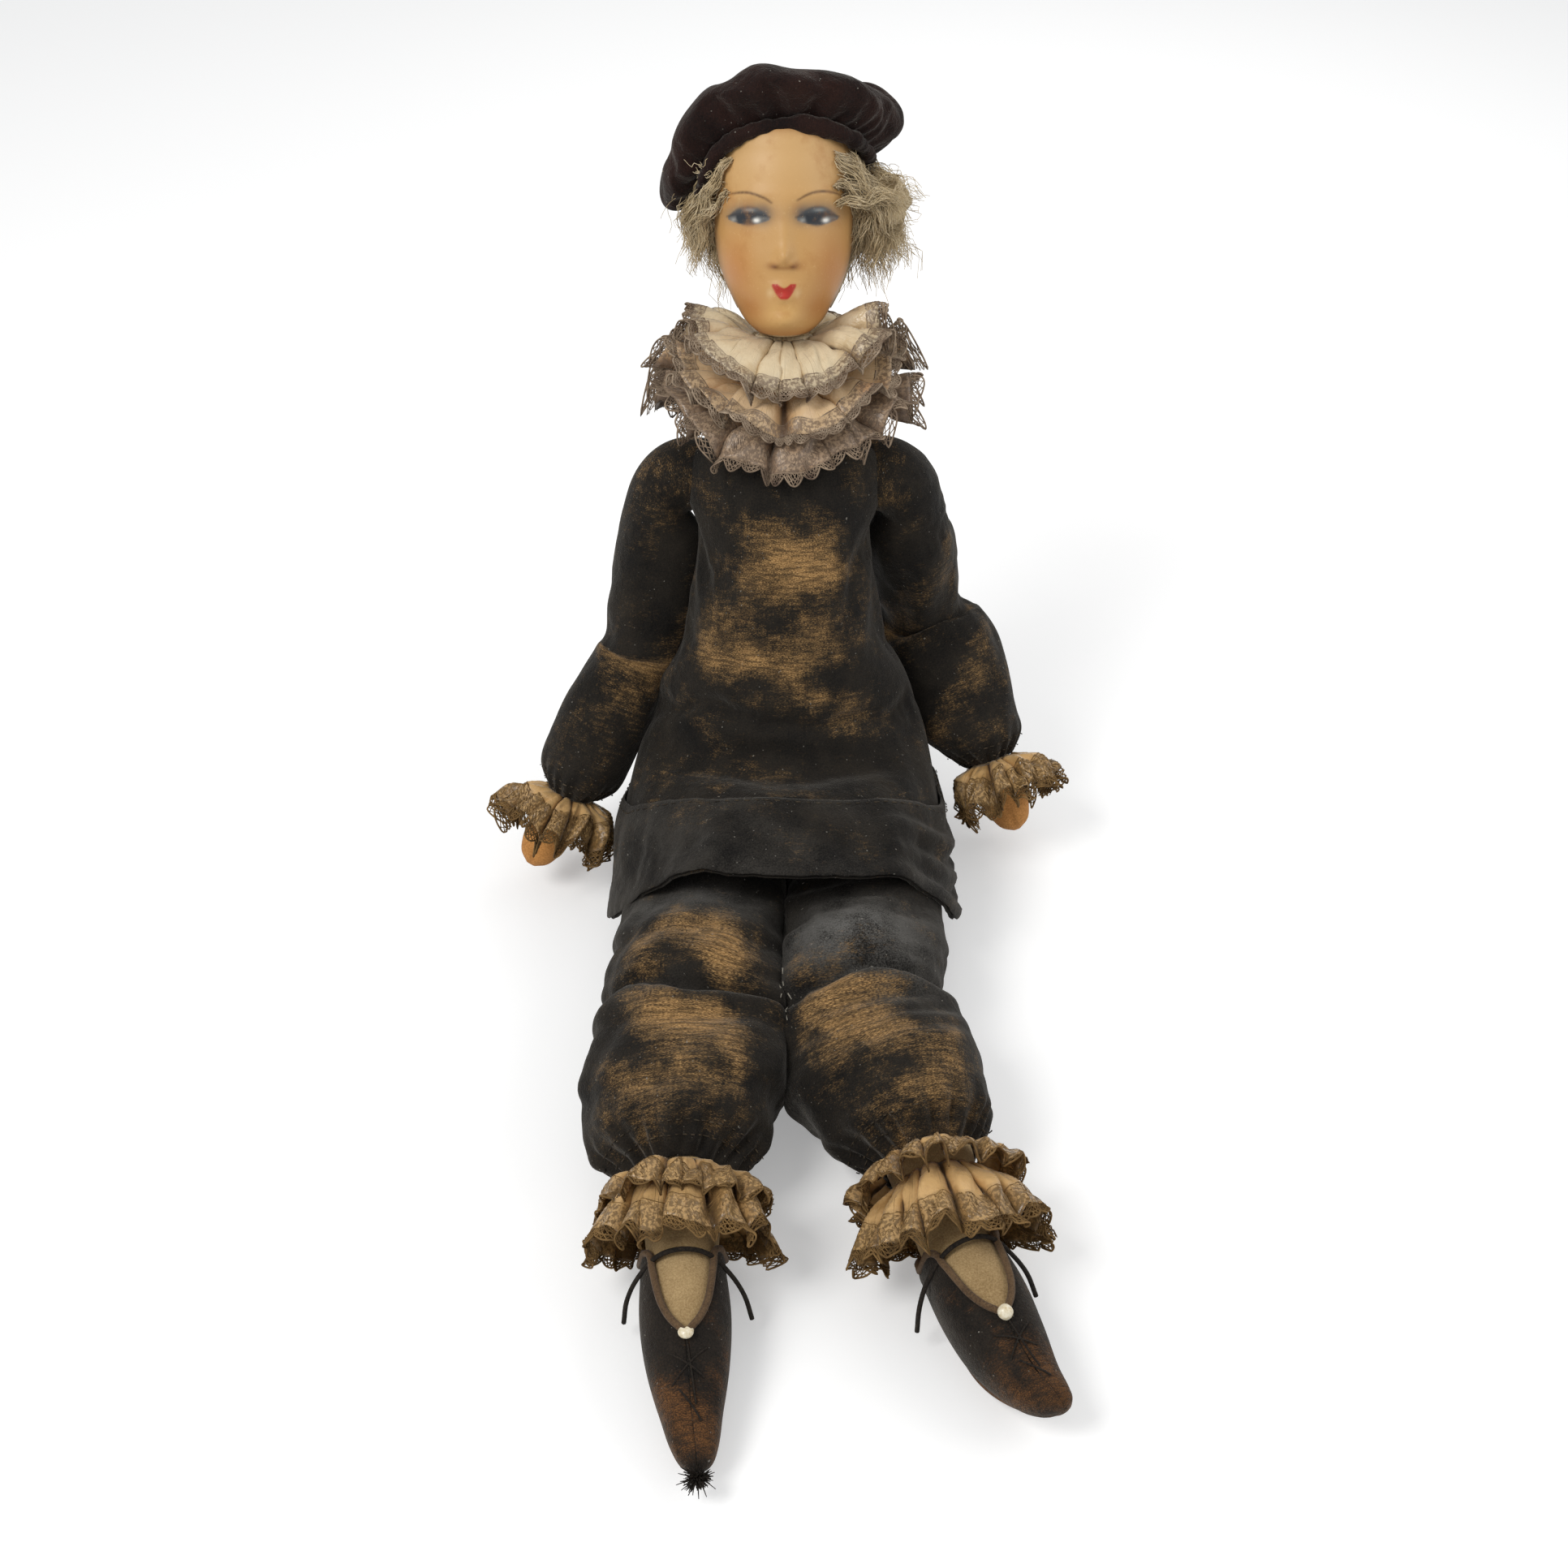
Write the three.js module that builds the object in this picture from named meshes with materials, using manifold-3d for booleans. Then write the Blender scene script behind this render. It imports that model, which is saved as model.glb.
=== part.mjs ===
// Cloth bed doll, seated on the floor with its legs forward. Millimetres, +Z up.
// The doll faces -Y, its own left side is +X, and the origin is the middle of its flat seat.

import * as THREE from "three";
import { mergeVertices } from "three/addons/utils/BufferGeometryUtils.js";
import Module from "manifold-3d";

const wasm = await Module();
wasm.setup();

// Driving sizes
const GAP = 0.4; // left between sewn pieces
const CLOTH = 1.6; // velvet, with its lining
const SILK = 1.2; // gathered silk
const LACE = 0.9;
const ROUND = 14; // points round a stuffed limb
const LEG_ROUND = 18; // points round a trouser leg
const BODY_ROUND = 20; // points round the body and the head
const SEAM = 0.45; // a stuffed limb is sewn flat, and ends this far from the line it folds on

const LEAN = 22; // degrees that the body leans back
const PELVIS_HEIGHT = 45;
const PELVIS_FORWARD = 20; // ahead of the middle of the seat
const NECK_BASE = 206; // up the body from the pelvis
const CHIN = NECK_BASE + 45;
const HEAD_TOP = CHIN + 111;
const SHOULDER_UP = 181;
const SHOULDER_OUT = 63;

const UPPER_ARM = 98;
const FOREARM = 88;
const HAND = 44;
const HIP_OUT = 42;
const HIP_FORWARD = PELVIS_FORWARD + 30;
const HIP_HEIGHT = 42;
const THIGH = 137;
const SHIN = 125;
const FOOT = 94;

const JOINT_FOLD = 31; // degrees that each side of an elbow or knee is cut back on its folding side
const HIP_FOLD = 36;

const radians = THREE.MathUtils.degToRad;
const point = (x, y, z) => new THREE.Vector3(x, y, z);
const foldSlope = Math.tan(radians(JOINT_FOLD));
const hipSlope = Math.tan(radians(HIP_FOLD));

// Materials
function cloth(colour, roughness) {
  return new THREE.MeshStandardMaterial({ color: colour, roughness, metalness: 0 });
}
const BLACK_VELVET = cloth(0x16120f, 0.95);
const CAP_VELVET = cloth(0x241514, 0.95);
const BODY_CLOTH = cloth(0xc9a77c, 0.9);
const PAINTED_FACE = cloth(0xc98a4e, 0.7);
const HAND_FELT = cloth(0xb9793f, 0.9);
const STOCKING = cloth(0xb7a283, 0.9);
const MOHAIR = cloth(0x9d8a70, 1.0);
const COLLAR_SILK = cloth(0xd0b08a, 0.6);
const CUFF_SILK = cloth(0xa98a5e, 0.65);
const LACE_THREAD = cloth(0x8b7358, 0.9);
const SOLE_LEATHER = cloth(0x6a4a30, 0.8);
const BEAD = cloth(0xe6dcc6, 0.4);
const TIE_CORD = cloth(0x14110f, 0.9);

// Closed surfaces

// A solid from grid rows that are closed rings. The ends are capped, or the last row joins the first.
// From row backFrom on, the rings run back along the inside of a wall, and the quads are split
// the other way, so that both faces of the wall have the same creases.
function solidFromRings(rings, endsJoined, backFrom = rings.length) {
  const count = rings[0].length;
  const positions = rings.flat().flatMap((p) => [p.x, p.y, p.z]);
  const triangles = [];
  const last = endsJoined ? rings.length : rings.length - 1;
  for (let r = 0; r < last; r++) {
    const next = (r + 1) % rings.length;
    for (let i = 0; i < count; i++) {
      const j = (i + 1) % count;
      const [a, b, c, d] = [r * count + i, r * count + j, next * count + j, next * count + i];
      triangles.push(...(r < backFrom ? [a, b, c, a, c, d] : [a, b, d, b, c, d]));
    }
  }
  if (!endsJoined) {
    capRing(positions, triangles, rings[0], 0, true);
    capRing(positions, triangles, rings[rings.length - 1], (rings.length - 1) * count, false);
  }
  return facingOut(positions, triangles);
}

function capRing(positions, triangles, ring, first, reversed) {
  const middle = ring.reduce((sum, p) => sum.add(p), point(0, 0, 0)).divideScalar(ring.length);
  const centre = positions.length / 3;
  positions.push(middle.x, middle.y, middle.z);
  for (let i = 0; i < ring.length; i++) {
    const a = first + i;
    const b = first + ((i + 1) % ring.length);
    triangles.push(...(reversed ? [centre, b, a] : [centre, a, b]));
  }
}

// The triangles as a geometry, turned over when their volume is negative.
function facingOut(positions, triangles) {
  const corner = (i) => point(positions[3 * i], positions[3 * i + 1], positions[3 * i + 2]);
  let volume = 0;
  for (let t = 0; t < triangles.length; t += 3) {
    const [a, b, c] = triangles.slice(t, t + 3).map(corner);
    volume += a.dot(b.cross(c));
  }
  if (volume < 0) triangles.reverse();
  const geometry = new THREE.BufferGeometry();
  geometry.setAttribute("position", new THREE.Float32BufferAttribute(positions, 3));
  geometry.setIndex(triangles);
  return geometry;
}

const stuffed = (rings) => solidFromRings(rings, false);
const thereAndBack = (outer, inner) => [...outer, ...inner.slice().reverse()];
const tube = (outer, inner) => solidFromRings(thereAndBack(outer, inner), true, outer.length);
const cup = (outer, inner) => solidFromRings(thereAndBack(outer, inner), false, outer.length);

// Booleans
function toSolid(geometry) {
  const bare = new THREE.BufferGeometry();
  bare.setAttribute("position", geometry.getAttribute("position").clone());
  bare.setIndex(geometry.index.clone());
  const merged = mergeVertices(bare, 1e-4);
  const mesh = { numProp: 3, vertProperties: merged.attributes.position.array };
  mesh.triVerts = new Uint32Array(merged.index.array);
  return new wasm.Manifold(new wasm.Mesh(mesh));
}

function toGeometry(solid) {
  const mesh = solid.getMesh();
  const geometry = new THREE.BufferGeometry();
  geometry.setAttribute("position", new THREE.Float32BufferAttribute(mesh.vertProperties, 3));
  geometry.setIndex(Array.from(mesh.triVerts));
  return geometry;
}

const cut = (geometry, ...tools) =>
  toGeometry(tools.reduce((solid, tool) => solid.subtract(toSolid(tool)), toSolid(geometry)));
const join = (geometry, other) => toGeometry(toSolid(geometry).add(toSolid(other)));

function bareMesh(geometry) {
  return mergeVertices(geometry.clone().deleteAttribute("normal").deleteAttribute("uv"));
}

const box = (width, depth, height) => bareMesh(new THREE.BoxGeometry(width, depth, height));

// A block of the parent frame, as the group sees it, for cutting what lies below or beside a plane.
function blockFor(group, size, centre) {
  const block = box(...size).translate(...centre);
  group.updateWorldMatrix(true, false);
  return block.applyMatrix4(group.matrixWorld.clone().invert());
}

const BLOCK = 800;
const belowFloor = (group, height) =>
  blockFor(group, [BLOCK, 2 * BLOCK, BLOCK], [0, 0, height - BLOCK / 2]);
const insideOf = (group, side, out) =>
  blockFor(group, [BLOCK, 2 * BLOCK, 2 * BLOCK], [side * (out - BLOCK / 2), 0, 0]);

const BALL_STEPS = 7; // rings of a large ball
function ball(radius, centre, wide, tall) {
  const rings = [];
  for (let r = 0; r <= tall; r++) {
    const turn = ((r + 0.5) / (tall + 1)) * Math.PI;
    const ringRadius = radius * Math.sin(turn);
    rings.push(flatRing(wide, ringRadius, ringRadius, ringRadius, radius * Math.cos(turn)));
  }
  return stuffed(rings).translate(centre.x, centre.y, centre.z);
}

// An ellipse at one height, with its own depth to the front (-Y) and to the back.
// Above 2 the power squares it.
function flatRing(count, halfWidth, front, back, height, power = 2) {
  const ring = [];
  for (let i = 0; i < count; i++) {
    const turn = (i / count) * 2 * Math.PI;
    const c = Math.cos(turn);
    const s = Math.sin(turn);
    const x = halfWidth * Math.sign(c) * Math.abs(c) ** (2 / power);
    const y = (s < 0 ? front : back) * Math.sign(s) * Math.abs(s) ** (2 / power);
    ring.push(point(x, y, height));
  }
  return ring;
}

// Limbs run along -Z of their group. A station is [along, half width, front, back].
// The slope moves a ring's points along the limb on its folding side: fold -1 is the front, +1 the back.
// The skew tilts a ring across the limb, so that it lies along the joint's axis.
function limbRing(station, grow, count, slope = 0, fold = -1, skew = 0) {
  const [along, width, front, back] = station;
  const middle = (back - front) / 2;
  const depth = (back + front) / 2 + grow;
  return flatRing(count, width + grow, depth, depth, -along).map((p) => {
    p.y += middle;
    p.z += skew * p.x - slope * Math.max(0, fold * p.y);
    return p;
  });
}

// Rings of a limb piece, its first and last cut back on the folding side.
function limbRings(stations, options = {}) {
  const { grow = 0, count = ROUND, fold = -1 } = options;
  const { startSlope = 0, endSlope = 0, startSkew = 0, endSkew = 0 } = options;
  return stations.map((station, i) => {
    if (i === 0) return limbRing(station, grow, count, startSlope, fold, startSkew);
    if (i === stations.length - 1) return limbRing(station, grow, count, -endSlope, fold, endSkew);
    return limbRing(station, grow, count);
  });
}

function limbSleeve(stations, options) {
  const outer = limbRings(stations, options);
  const inner = limbRings(stations, { ...options, grow: (options.grow ?? 0) - CLOTH });
  return tube(outer, inner);
}

const doll = new THREE.Group();
doll.name = "cloth_doll";

function addGroup(parent, name) {
  const group = new THREE.Group();
  group.name = name;
  parent.add(group);
  return group;
}

function addPiece(group, name, geometry, material) {
  const mesh = new THREE.Mesh(geometry, material);
  mesh.name = name;
  geometry.computeVertexNormals();
  group.add(mesh);
}

// Frills
// A pleated ring of silk or lace. The edge functions give radius and height for each turn round the ring.
// Its folds are sharp, deepen towards the outer edge, and have the same thickness everywhere along its lean.
function frill({ inner, outer, pleats, depth, thickness, from = 0, to = 1 }) {
  const count = 2 * pleats;
  const top = [];
  const under = [];
  for (const share of [from, to]) {
    const topRing = [];
    const underRing = [];
    for (let i = 0; i < count; i++) {
      const turn = (i / count) * 2 * Math.PI;
      const start = inner(turn);
      const end = outer(turn);
      const lean = Math.atan2(end.z - start.z, Math.hypot(end.x - start.x, end.y - start.y));
      const inward = -Math.sin(lean);
      const across = point(inward * Math.cos(turn), inward * Math.sin(turn), Math.cos(lean));
      const wave = depth * share * (i % 2 ? 1 : -1);
      const middle = start.clone().lerp(end, share).addScaledVector(across, wave);
      topRing.push(middle.clone().addScaledVector(across, thickness / 2));
      underRing.push(middle.clone().addScaledVector(across, -thickness / 2));
    }
    top.push(topRing);
    under.push(underRing);
  }
  return tube(top, under);
}

// A point at a turn round a ring, given its half width, its front and back radius,
// and its heights at the side, the front and the back.
function rim(width, front, back, sideHeight, frontHeight, backHeight) {
  return (turn) => {
    const c = Math.cos(turn);
    const s = Math.sin(turn);
    const depth = s < 0 ? front : back;
    const endHeight = s < 0 ? frontHeight : backHeight;
    return point(width * c, depth * s, sideHeight * c * c + endHeight * s * s);
  };
}

const evenRim = (radius, height) => rim(radius, radius, radius, height, height, height);

// Body: everything that leans back with the torso. Its rings are [height, half width, front, back].
const body = addGroup(doll, "body");
body.position.set(0, -PELVIS_FORWARD, PELVIS_HEIGHT);
body.rotation.x = -radians(LEAN);

const TORSO = [
  [-62, 40, 30, 42],
  [-30, 46, 30, 54],
  [-10, 48, 27.4, 52],
  [20, 46, 30, 44],
  [60, 40, 32, 34],
  [100, 38, 34, 31],
  [140, 42, 36, 32],
  [175, 44.8, 32, 30],
  [190, 43, 27, 26],
  [200, 24, 20, 20],
  [NECK_BASE, 15, 15, 15],
];
const WAIST = 5; // the trousers end at this ring of the torso
const SEAT_CLOTH = 2;
const ARM_BALL = 18; // rounded top of the stuffed arm

function bodyRings(stations, grow, count, power) {
  return stations.map(([height, width, front, back]) =>
    flatRing(count, width + grow, front + grow, back + grow, height, power),
  );
}

// Everything in front of the slope that runs down and back from the hip seam.
function hipWedge(group, setBack) {
  const wedge = box(BLOCK, BLOCK, BLOCK).translate(0, -BLOCK / 2, 0);
  wedge.rotateX(radians(HIP_FOLD));
  wedge.translate(0, setBack - HIP_FORWARD, HIP_HEIGHT);
  group.updateWorldMatrix(true, false);
  return wedge.applyMatrix4(group.matrixWorld.clone().invert());
}

const torsoForm = (grow) => stuffed(bodyRings(TORSO, grow, BODY_ROUND));

function torsoCore() {
  return cut(torsoForm(0), belowFloor(body, SEAT_CLOTH + GAP), hipWedge(body, GAP));
}

function trouserSeat() {
  const outer = stuffed(bodyRings(TORSO.slice(0, WAIST), SEAT_CLOTH + GAP, BODY_ROUND));
  const hollow = cut(torsoForm(GAP), belowFloor(body, SEAT_CLOTH));
  return cut(outer, belowFloor(body, 0), hipWedge(body, GAP), hollow);
}

// Tunic: a smock that widens from the chest to a deep hem spread over the lap.
const HEM = { width: 87, front: 122, back: 66, power: 3 };
const HEM_HEIGHT = { side: -32, front: 0, back: -14 };
const HEM_DROP = 6; // how late the hem falls from the lap to the sides: a power
const TUNIC = [
  [NECK_BASE, 24, 24, 24],
  [190, 48.5, 34, 32],
  [150, 47.5, 42, 36],
  [125, 49.5, 45, 38],
  [98, 54, 47, 41],
  [66, 64, 50, 46],
  [34, 74, 56, 52],
];
const TUNIC_ROUND = 24;
const HEM_FOLDS = 6; // soft folds round the skirt
const HEM_FOLD = 1.8; // how far they stand out at the hem
const HEM_BAND_GAP = 1.5; // the band is sewn on outside the tunic
const HEM_SHARES = [0.6, 0.8, 1]; // of the way from the lap crease to the hem

function hemRing(share, grow) {
  const [topHeight, topWidth, topFront, topBack] = TUNIC[TUNIC.length - 1];
  const mix = (a, b) => a + (b - a) * share;
  const width = mix(topWidth, HEM.width) + grow;
  const front = mix(topFront, HEM.front) + grow;
  const back = mix(topBack, HEM.back) + grow;
  return flatRing(TUNIC_ROUND, width, front, back, 0, mix(2, HEM.power)).map((p, i) => {
    const across = (p.x / width) ** HEM_DROP;
    const end = p.y < 0 ? HEM_HEIGHT.front : HEM_HEIGHT.back;
    p.z = mix(topHeight, end + (HEM_HEIGHT.side - end) * across);
    const fold = HEM_FOLD * share * Math.cos((2 * Math.PI * HEM_FOLDS * i) / TUNIC_ROUND);
    return p.addScaledVector(point(p.x, p.y, 0).normalize(), fold);
  });
}

function tunicRings(grow) {
  return [...bodyRings(TUNIC, grow, TUNIC_ROUND), ...HEM_SHARES.map((share) => hemRing(share, grow))];
}

function tunic() {
  const armHole = ARM_BALL + 2 * GAP;
  const shoulders = [1, -1].map((side) => point(side * SHOULDER_OUT, 0, SHOULDER_UP));
  const holes = shoulders.map((place) => ball(armHole, place, ROUND, BALL_STEPS));
  return cut(tube(tunicRings(0), tunicRings(-CLOTH)), ...holes);
}

function hemBand() {
  const outer = HEM_SHARES.map((share) => hemRing(share, HEM_BAND_GAP + CLOTH));
  const inner = HEM_SHARES.map((share) => hemRing(share, HEM_BAND_GAP));
  return tube(outer, inner);
}

addPiece(body, "stuffed_body", torsoCore(), BODY_CLOTH);
addPiece(body, "trouser_seat", trouserSeat(), BLACK_VELVET);
addPiece(body, "tunic", tunic(), BLACK_VELVET);
addPiece(body, "tunic_hem_band", hemBand(), BLACK_VELVET);

// Collar: three gathered tiers on a neck band, each with a lace edging
const BAND_RADIUS = 23.6;
const BAND_HEIGHT = 33;
const LACE_FROM = 1.015;
const COLLAR_ROUND = 24;
// Each tier is sewn on at its seat. Its edge has a half width, front and back,
// and heights at the side, the front and the back. All heights are above the neck's base.
const COLLAR_TIERS = [
  { name: "lower", seat: 8, edge: [67, 45, 50], heights: [7, -19, -4], pleats: 22, depth: 3.2, lace: 1.17 },
  { name: "middle", seat: 19, edge: [60, 46, 47], heights: [28, 0, 15], pleats: 20, depth: 3.2, lace: 1.15 },
  { name: "upper", seat: 30, edge: [51, 45, 42], heights: [47, 19, 34], pleats: 18, depth: 3, lace: 1.15 },
];

function neckBand() {
  const heights = [NECK_BASE + GAP, NECK_BASE + BAND_HEIGHT];
  const wall = (radius) => heights.map((height) => flatRing(COLLAR_ROUND, radius, radius, radius, height));
  return tube(wall(BAND_RADIUS), wall(BAND_RADIUS - CLOTH));
}

function collarTier(tier, part) {
  const seatRadius = BAND_RADIUS + GAP + SILK / 2;
  const edges = {
    inner: evenRim(seatRadius, NECK_BASE + tier.seat),
    outer: rim(...tier.edge, ...tier.heights.map((height) => NECK_BASE + height)),
    pleats: tier.pleats,
    depth: tier.depth,
  };
  if (part === "silk") return frill({ ...edges, thickness: SILK });
  return frill({ ...edges, thickness: LACE, from: LACE_FROM, to: tier.lace });
}

addPiece(body, "collar_band", neckBand(), COLLAR_SILK);
for (const tier of COLLAR_TIERS) {
  addPiece(body, `collar_${tier.name}_tier`, collarTier(tier, "silk"), COLLAR_SILK);
  addPiece(body, `collar_${tier.name}_lace`, collarTier(tier, "lace"), LACE_THREAD);
}

// Neck and head, in the frame of the body
const NECK_RADIUS = 13;
const NECK_STEPS = 4; // rings of its rounded foot
// From the flat of the foot to the middle of its round
const NECK_FLAT = NECK_RADIUS * Math.cos(Math.PI / 2 / NECK_STEPS);
const NECK_PIVOT = NECK_BASE + 2 * GAP + NECK_FLAT; // the neck rocks about this point
const HEAD = [
  [CHIN, 13, 26, 11],
  [CHIN + 5, 20, 34, 19],
  [CHIN + 14, 25, 37.5, 27],
  [CHIN + 29, 30.5, 38.5, 34],
  [CHIN + 49, 33, 38, 38],
  [CHIN + 69, 33.5, 37, 39],
  [CHIN + 89, 31, 33, 36],
  [CHIN + 103, 22, 24, 26],
  [HEAD_TOP, 8, 9, 10],
];
const MASK_FORM = 1.7; // moulded cloth
const MASK_LOW = CHIN + 1;
const MASK_HIGH = CHIN + 97;
const MASK_HALF_TURN = 80;
const MASK_COLUMNS = 12;
const MASK_STEP = 8.5; // longest step between two rows

function neckStalk() {
  const rings = [];
  for (let step = 1; step <= NECK_STEPS; step++) {
    const turn = (step / NECK_STEPS) * (Math.PI / 2);
    const radius = NECK_RADIUS * Math.sin(turn);
    rings.push(flatRing(ROUND, radius, radius, radius, NECK_PIVOT - NECK_RADIUS * Math.cos(turn)));
  }
  rings.push(flatRing(ROUND, NECK_RADIUS, NECK_RADIUS, NECK_RADIUS, CHIN - GAP));
  return stuffed(rings);
}

const headForm = (grow) => stuffed(bodyRings(HEAD, grow, BODY_ROUND));

// Half width, front and back of the head at a height, from the rings it is lofted through.
function headAt(height) {
  const above = HEAD.findIndex((ring) => ring[0] >= height);
  const high = HEAD[Math.max(1, above)];
  const low = HEAD[Math.max(1, above) - 1];
  const share = (height - low[0]) / (high[0] - low[0]);
  return [1, 2, 3].map((i) => low[i] + (high[i] - low[i]) * share);
}

// Relief of the moulded face: [across, above the chin, half width, half height, rise].
const NOSE_TIP = [0, 40, 4.6, 6, 5.2];
const NOSE_BRIDGE = [0, 50, 4, 9, 3];
const LIPS = [0, 24, 7, 3.4, 2];
const CHIN_BUTTON = [0, 8, 9, 5, 2];
const CHEEK = [19, 34, 10, 10, 1.4];
const EYE_SOCKET = [15, 58, 8, 6, -1];

function faceRelief(x, height) {
  const swell = ([across, up, wide, tall, rise], side) =>
    rise * Math.exp(-(((x - side * across) / wide) ** 2) - ((height - CHIN - up) / tall) ** 2);
  const middle = [NOSE_TIP, NOSE_BRIDGE, LIPS, CHIN_BUTTON].map((form) => swell(form, 0));
  const pairs = [CHEEK, EYE_SOCKET].flatMap((form) => [swell(form, 1), swell(form, -1)]);
  return [...middle, ...pairs].reduce((sum, rise) => sum + rise, 0);
}

// Rows of the mask: each ring of the head that it covers, and even steps between them.
function maskHeights() {
  const marks = HEAD.map((ring) => ring[0]).filter((height) => height > MASK_LOW && height < MASK_HIGH);
  const ends = [MASK_LOW, ...marks, MASK_HIGH];
  const heights = [MASK_LOW];
  for (let i = 1; i < ends.length; i++) {
    const steps = Math.ceil((ends[i] - ends[i - 1]) / MASK_STEP);
    for (let k = 1; k <= steps; k++) heights.push(ends[i - 1] + ((ends[i] - ends[i - 1]) * k) / steps);
  }
  return heights;
}

function faceMask() {
  const rings = [];
  for (const height of maskHeights()) {
    const [width, front] = headAt(height);
    const outer = [];
    const inner = [];
    for (let i = 0; i <= MASK_COLUMNS; i++) {
      const turn = radians(-90 + MASK_HALF_TURN * ((2 * i) / MASK_COLUMNS - 1));
      const c = Math.cos(turn);
      const s = Math.sin(turn);
      const lift = GAP + MASK_FORM;
      const x = (width + lift) * c;
      outer.push(point(x, (front + lift) * s - faceRelief(x, height) * -s, height));
      inner.push(point((width + 2 * GAP) * c, (front + 2 * GAP) * s, height));
    }
    rings.push([...outer, ...inner.reverse()]);
  }
  return shellPatch(rings);
}

// A curved shell whose rings run along its outside and back along its inside, closed flat at both ends.
function shellPatch(rings) {
  const count = rings[0].length;
  const positions = rings.flat().flatMap((p) => [p.x, p.y, p.z]);
  const triangles = [];
  for (let r = 0; r < rings.length - 1; r++) {
    for (let i = 0; i < count; i++) {
      const j = (i + 1) % count;
      triangles.push(r * count + i, r * count + j, (r + 1) * count + j);
      triangles.push(r * count + i, (r + 1) * count + j, (r + 1) * count + i);
    }
  }
  for (const [first, reversed] of [[0, true], [(rings.length - 1) * count, false]]) {
    for (let i = 0; i < count / 2 - 1; i++) {
      const quad = [i, i + 1, count - 2 - i, count - 1 - i].map((k) => first + k);
      const pair = [quad[0], quad[1], quad[2], quad[0], quad[2], quad[3]];
      triangles.push(...(reversed ? pair.reverse() : pair));
    }
  }
  return facingOut(positions, triangles);
}

// Cap: a gathered velvet crown over a rolled edge, tipped back and to one side
const CAP_PLACE = [-1, 2, CHIN + 82];
const CAP_TIP_BACK = 16;
const CAP_TIP_SIDE = 7;
const CAP = [
  [-3, 40, 42],
  [1, 52, 48],
  [9, 57, 52],
  [19, 56, 51],
  [29, 45, 42],
  [36, 28, 26],
  [39, 8, 8],
];
const CAP_ROUND = 28;
const CAP_LOBES = 7;
const CAP_PUFF = 0.045; // share that the gathers swell the crown

const cap = addGroup(body, "cap");
cap.position.set(...CAP_PLACE);
cap.rotation.set(-radians(CAP_TIP_BACK), -radians(CAP_TIP_SIDE), 0);

function capForm(grow) {
  const rings = CAP.map(([height, width, depth], r) => {
    const puff = r === 0 ? 0 : CAP_PUFF;
    return flatRing(CAP_ROUND, width + grow, depth + grow, depth + grow, height).map((p, i) => {
      const swell = 1 + puff * Math.cos((CAP_LOBES * 2 * Math.PI * i) / CAP_ROUND + r);
      return point(p.x * swell, p.y * swell, p.z + (r === 0 ? -grow : 0));
    });
  });
  return stuffed(rings);
}

// The same geometry seen from another group of the body.
function seenFrom(from, to, geometry) {
  from.updateWorldMatrix(true, false);
  to.updateWorldMatrix(true, false);
  return geometry.clone().applyMatrix4(to.matrixWorld.clone().invert().multiply(from.matrixWorld));
}

const ROLL_LOW = -9; // the rolled edge's foot, and its half width, half depth and the rounding of its edges
const ROLL_WIDE = 42;
const ROLL_DEEP = 44;
const ROLL_ROUNDING = 2;
const maskAndHead = (grow) => headForm(grow + MASK_FORM + 3 * GAP);
function capCrown() {
  return cut(capForm(0), seenFrom(body, cap, maskAndHead(GAP)));
}

function rollRing(height, grow) {
  return flatRing(CAP_ROUND, ROLL_WIDE + grow, ROLL_DEEP + grow, ROLL_DEEP + grow, height);
}

function capRoll() {
  const top = CAP[0][0] - GAP;
  const middle = (ROLL_LOW + top) / 2;
  const rings = [rollRing(ROLL_LOW, -ROLL_ROUNDING), rollRing(middle, 0), rollRing(top, -ROLL_ROUNDING)];
  return cut(stuffed(rings), seenFrom(body, cap, maskAndHead(GAP)));
}

const rollForm = (grow) => stuffed([rollRing(ROLL_LOW - grow, grow), rollRing(CAP[0][0] + grow, grow)]);

// Wig: bunches of mohair below the cap, [middle, half sizes]
const WIG = {
  wig_left_bunch: [point(45, 6, CHIN + 58), [28, 25, 28]],
  wig_right_bunch: [point(-40, 6, CHIN + 55), [15, 22, 24]],
  wig_back: [point(0, 27, CHIN + 55), [37, 24, 26]],
};
const WIG_PART = { left: 30, right: -32 }; // where the back of the wig meets each bunch

function wigForm(name) {
  const [middle, [width, depth, tall]] = WIG[name];
  const form = ball(1, point(0, 0, 0), ROUND, BALL_STEPS).scale(width, depth, tall);
  return form.translate(middle.x, middle.y, middle.z);
}

function wigPiece(name) {
  const clear = [maskAndHead(GAP), seenFrom(cap, body, capForm(GAP)), seenFrom(cap, body, rollForm(GAP))];
  const form = wigForm(name);
  const sideBlock = (from, to) => box(to - from, BLOCK, BLOCK).translate((from + to) / 2, 0, HEAD_TOP);
  if (name === "wig_left_bunch") clear.push(sideBlock(-BLOCK, WIG_PART.left + GAP));
  if (name === "wig_right_bunch") clear.push(sideBlock(WIG_PART.right - GAP, BLOCK));
  if (name === "wig_back") clear.push(sideBlock(WIG_PART.left, BLOCK), sideBlock(-BLOCK, WIG_PART.right));
  return cut(form, ...clear);
}

addPiece(body, "stuffed_neck", neckStalk(), BODY_CLOTH);
addPiece(body, "stuffed_head", headForm(0), BODY_CLOTH);
addPiece(body, "face_mask", faceMask(), PAINTED_FACE);
addPiece(cap, "cap_crown", capCrown(), CAP_VELVET);
addPiece(cap, "cap_rolled_edge", capRoll(), CAP_VELVET);
for (const name of Object.keys(WIG)) addPiece(body, name, wigPiece(name), MOHAIR);

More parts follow.
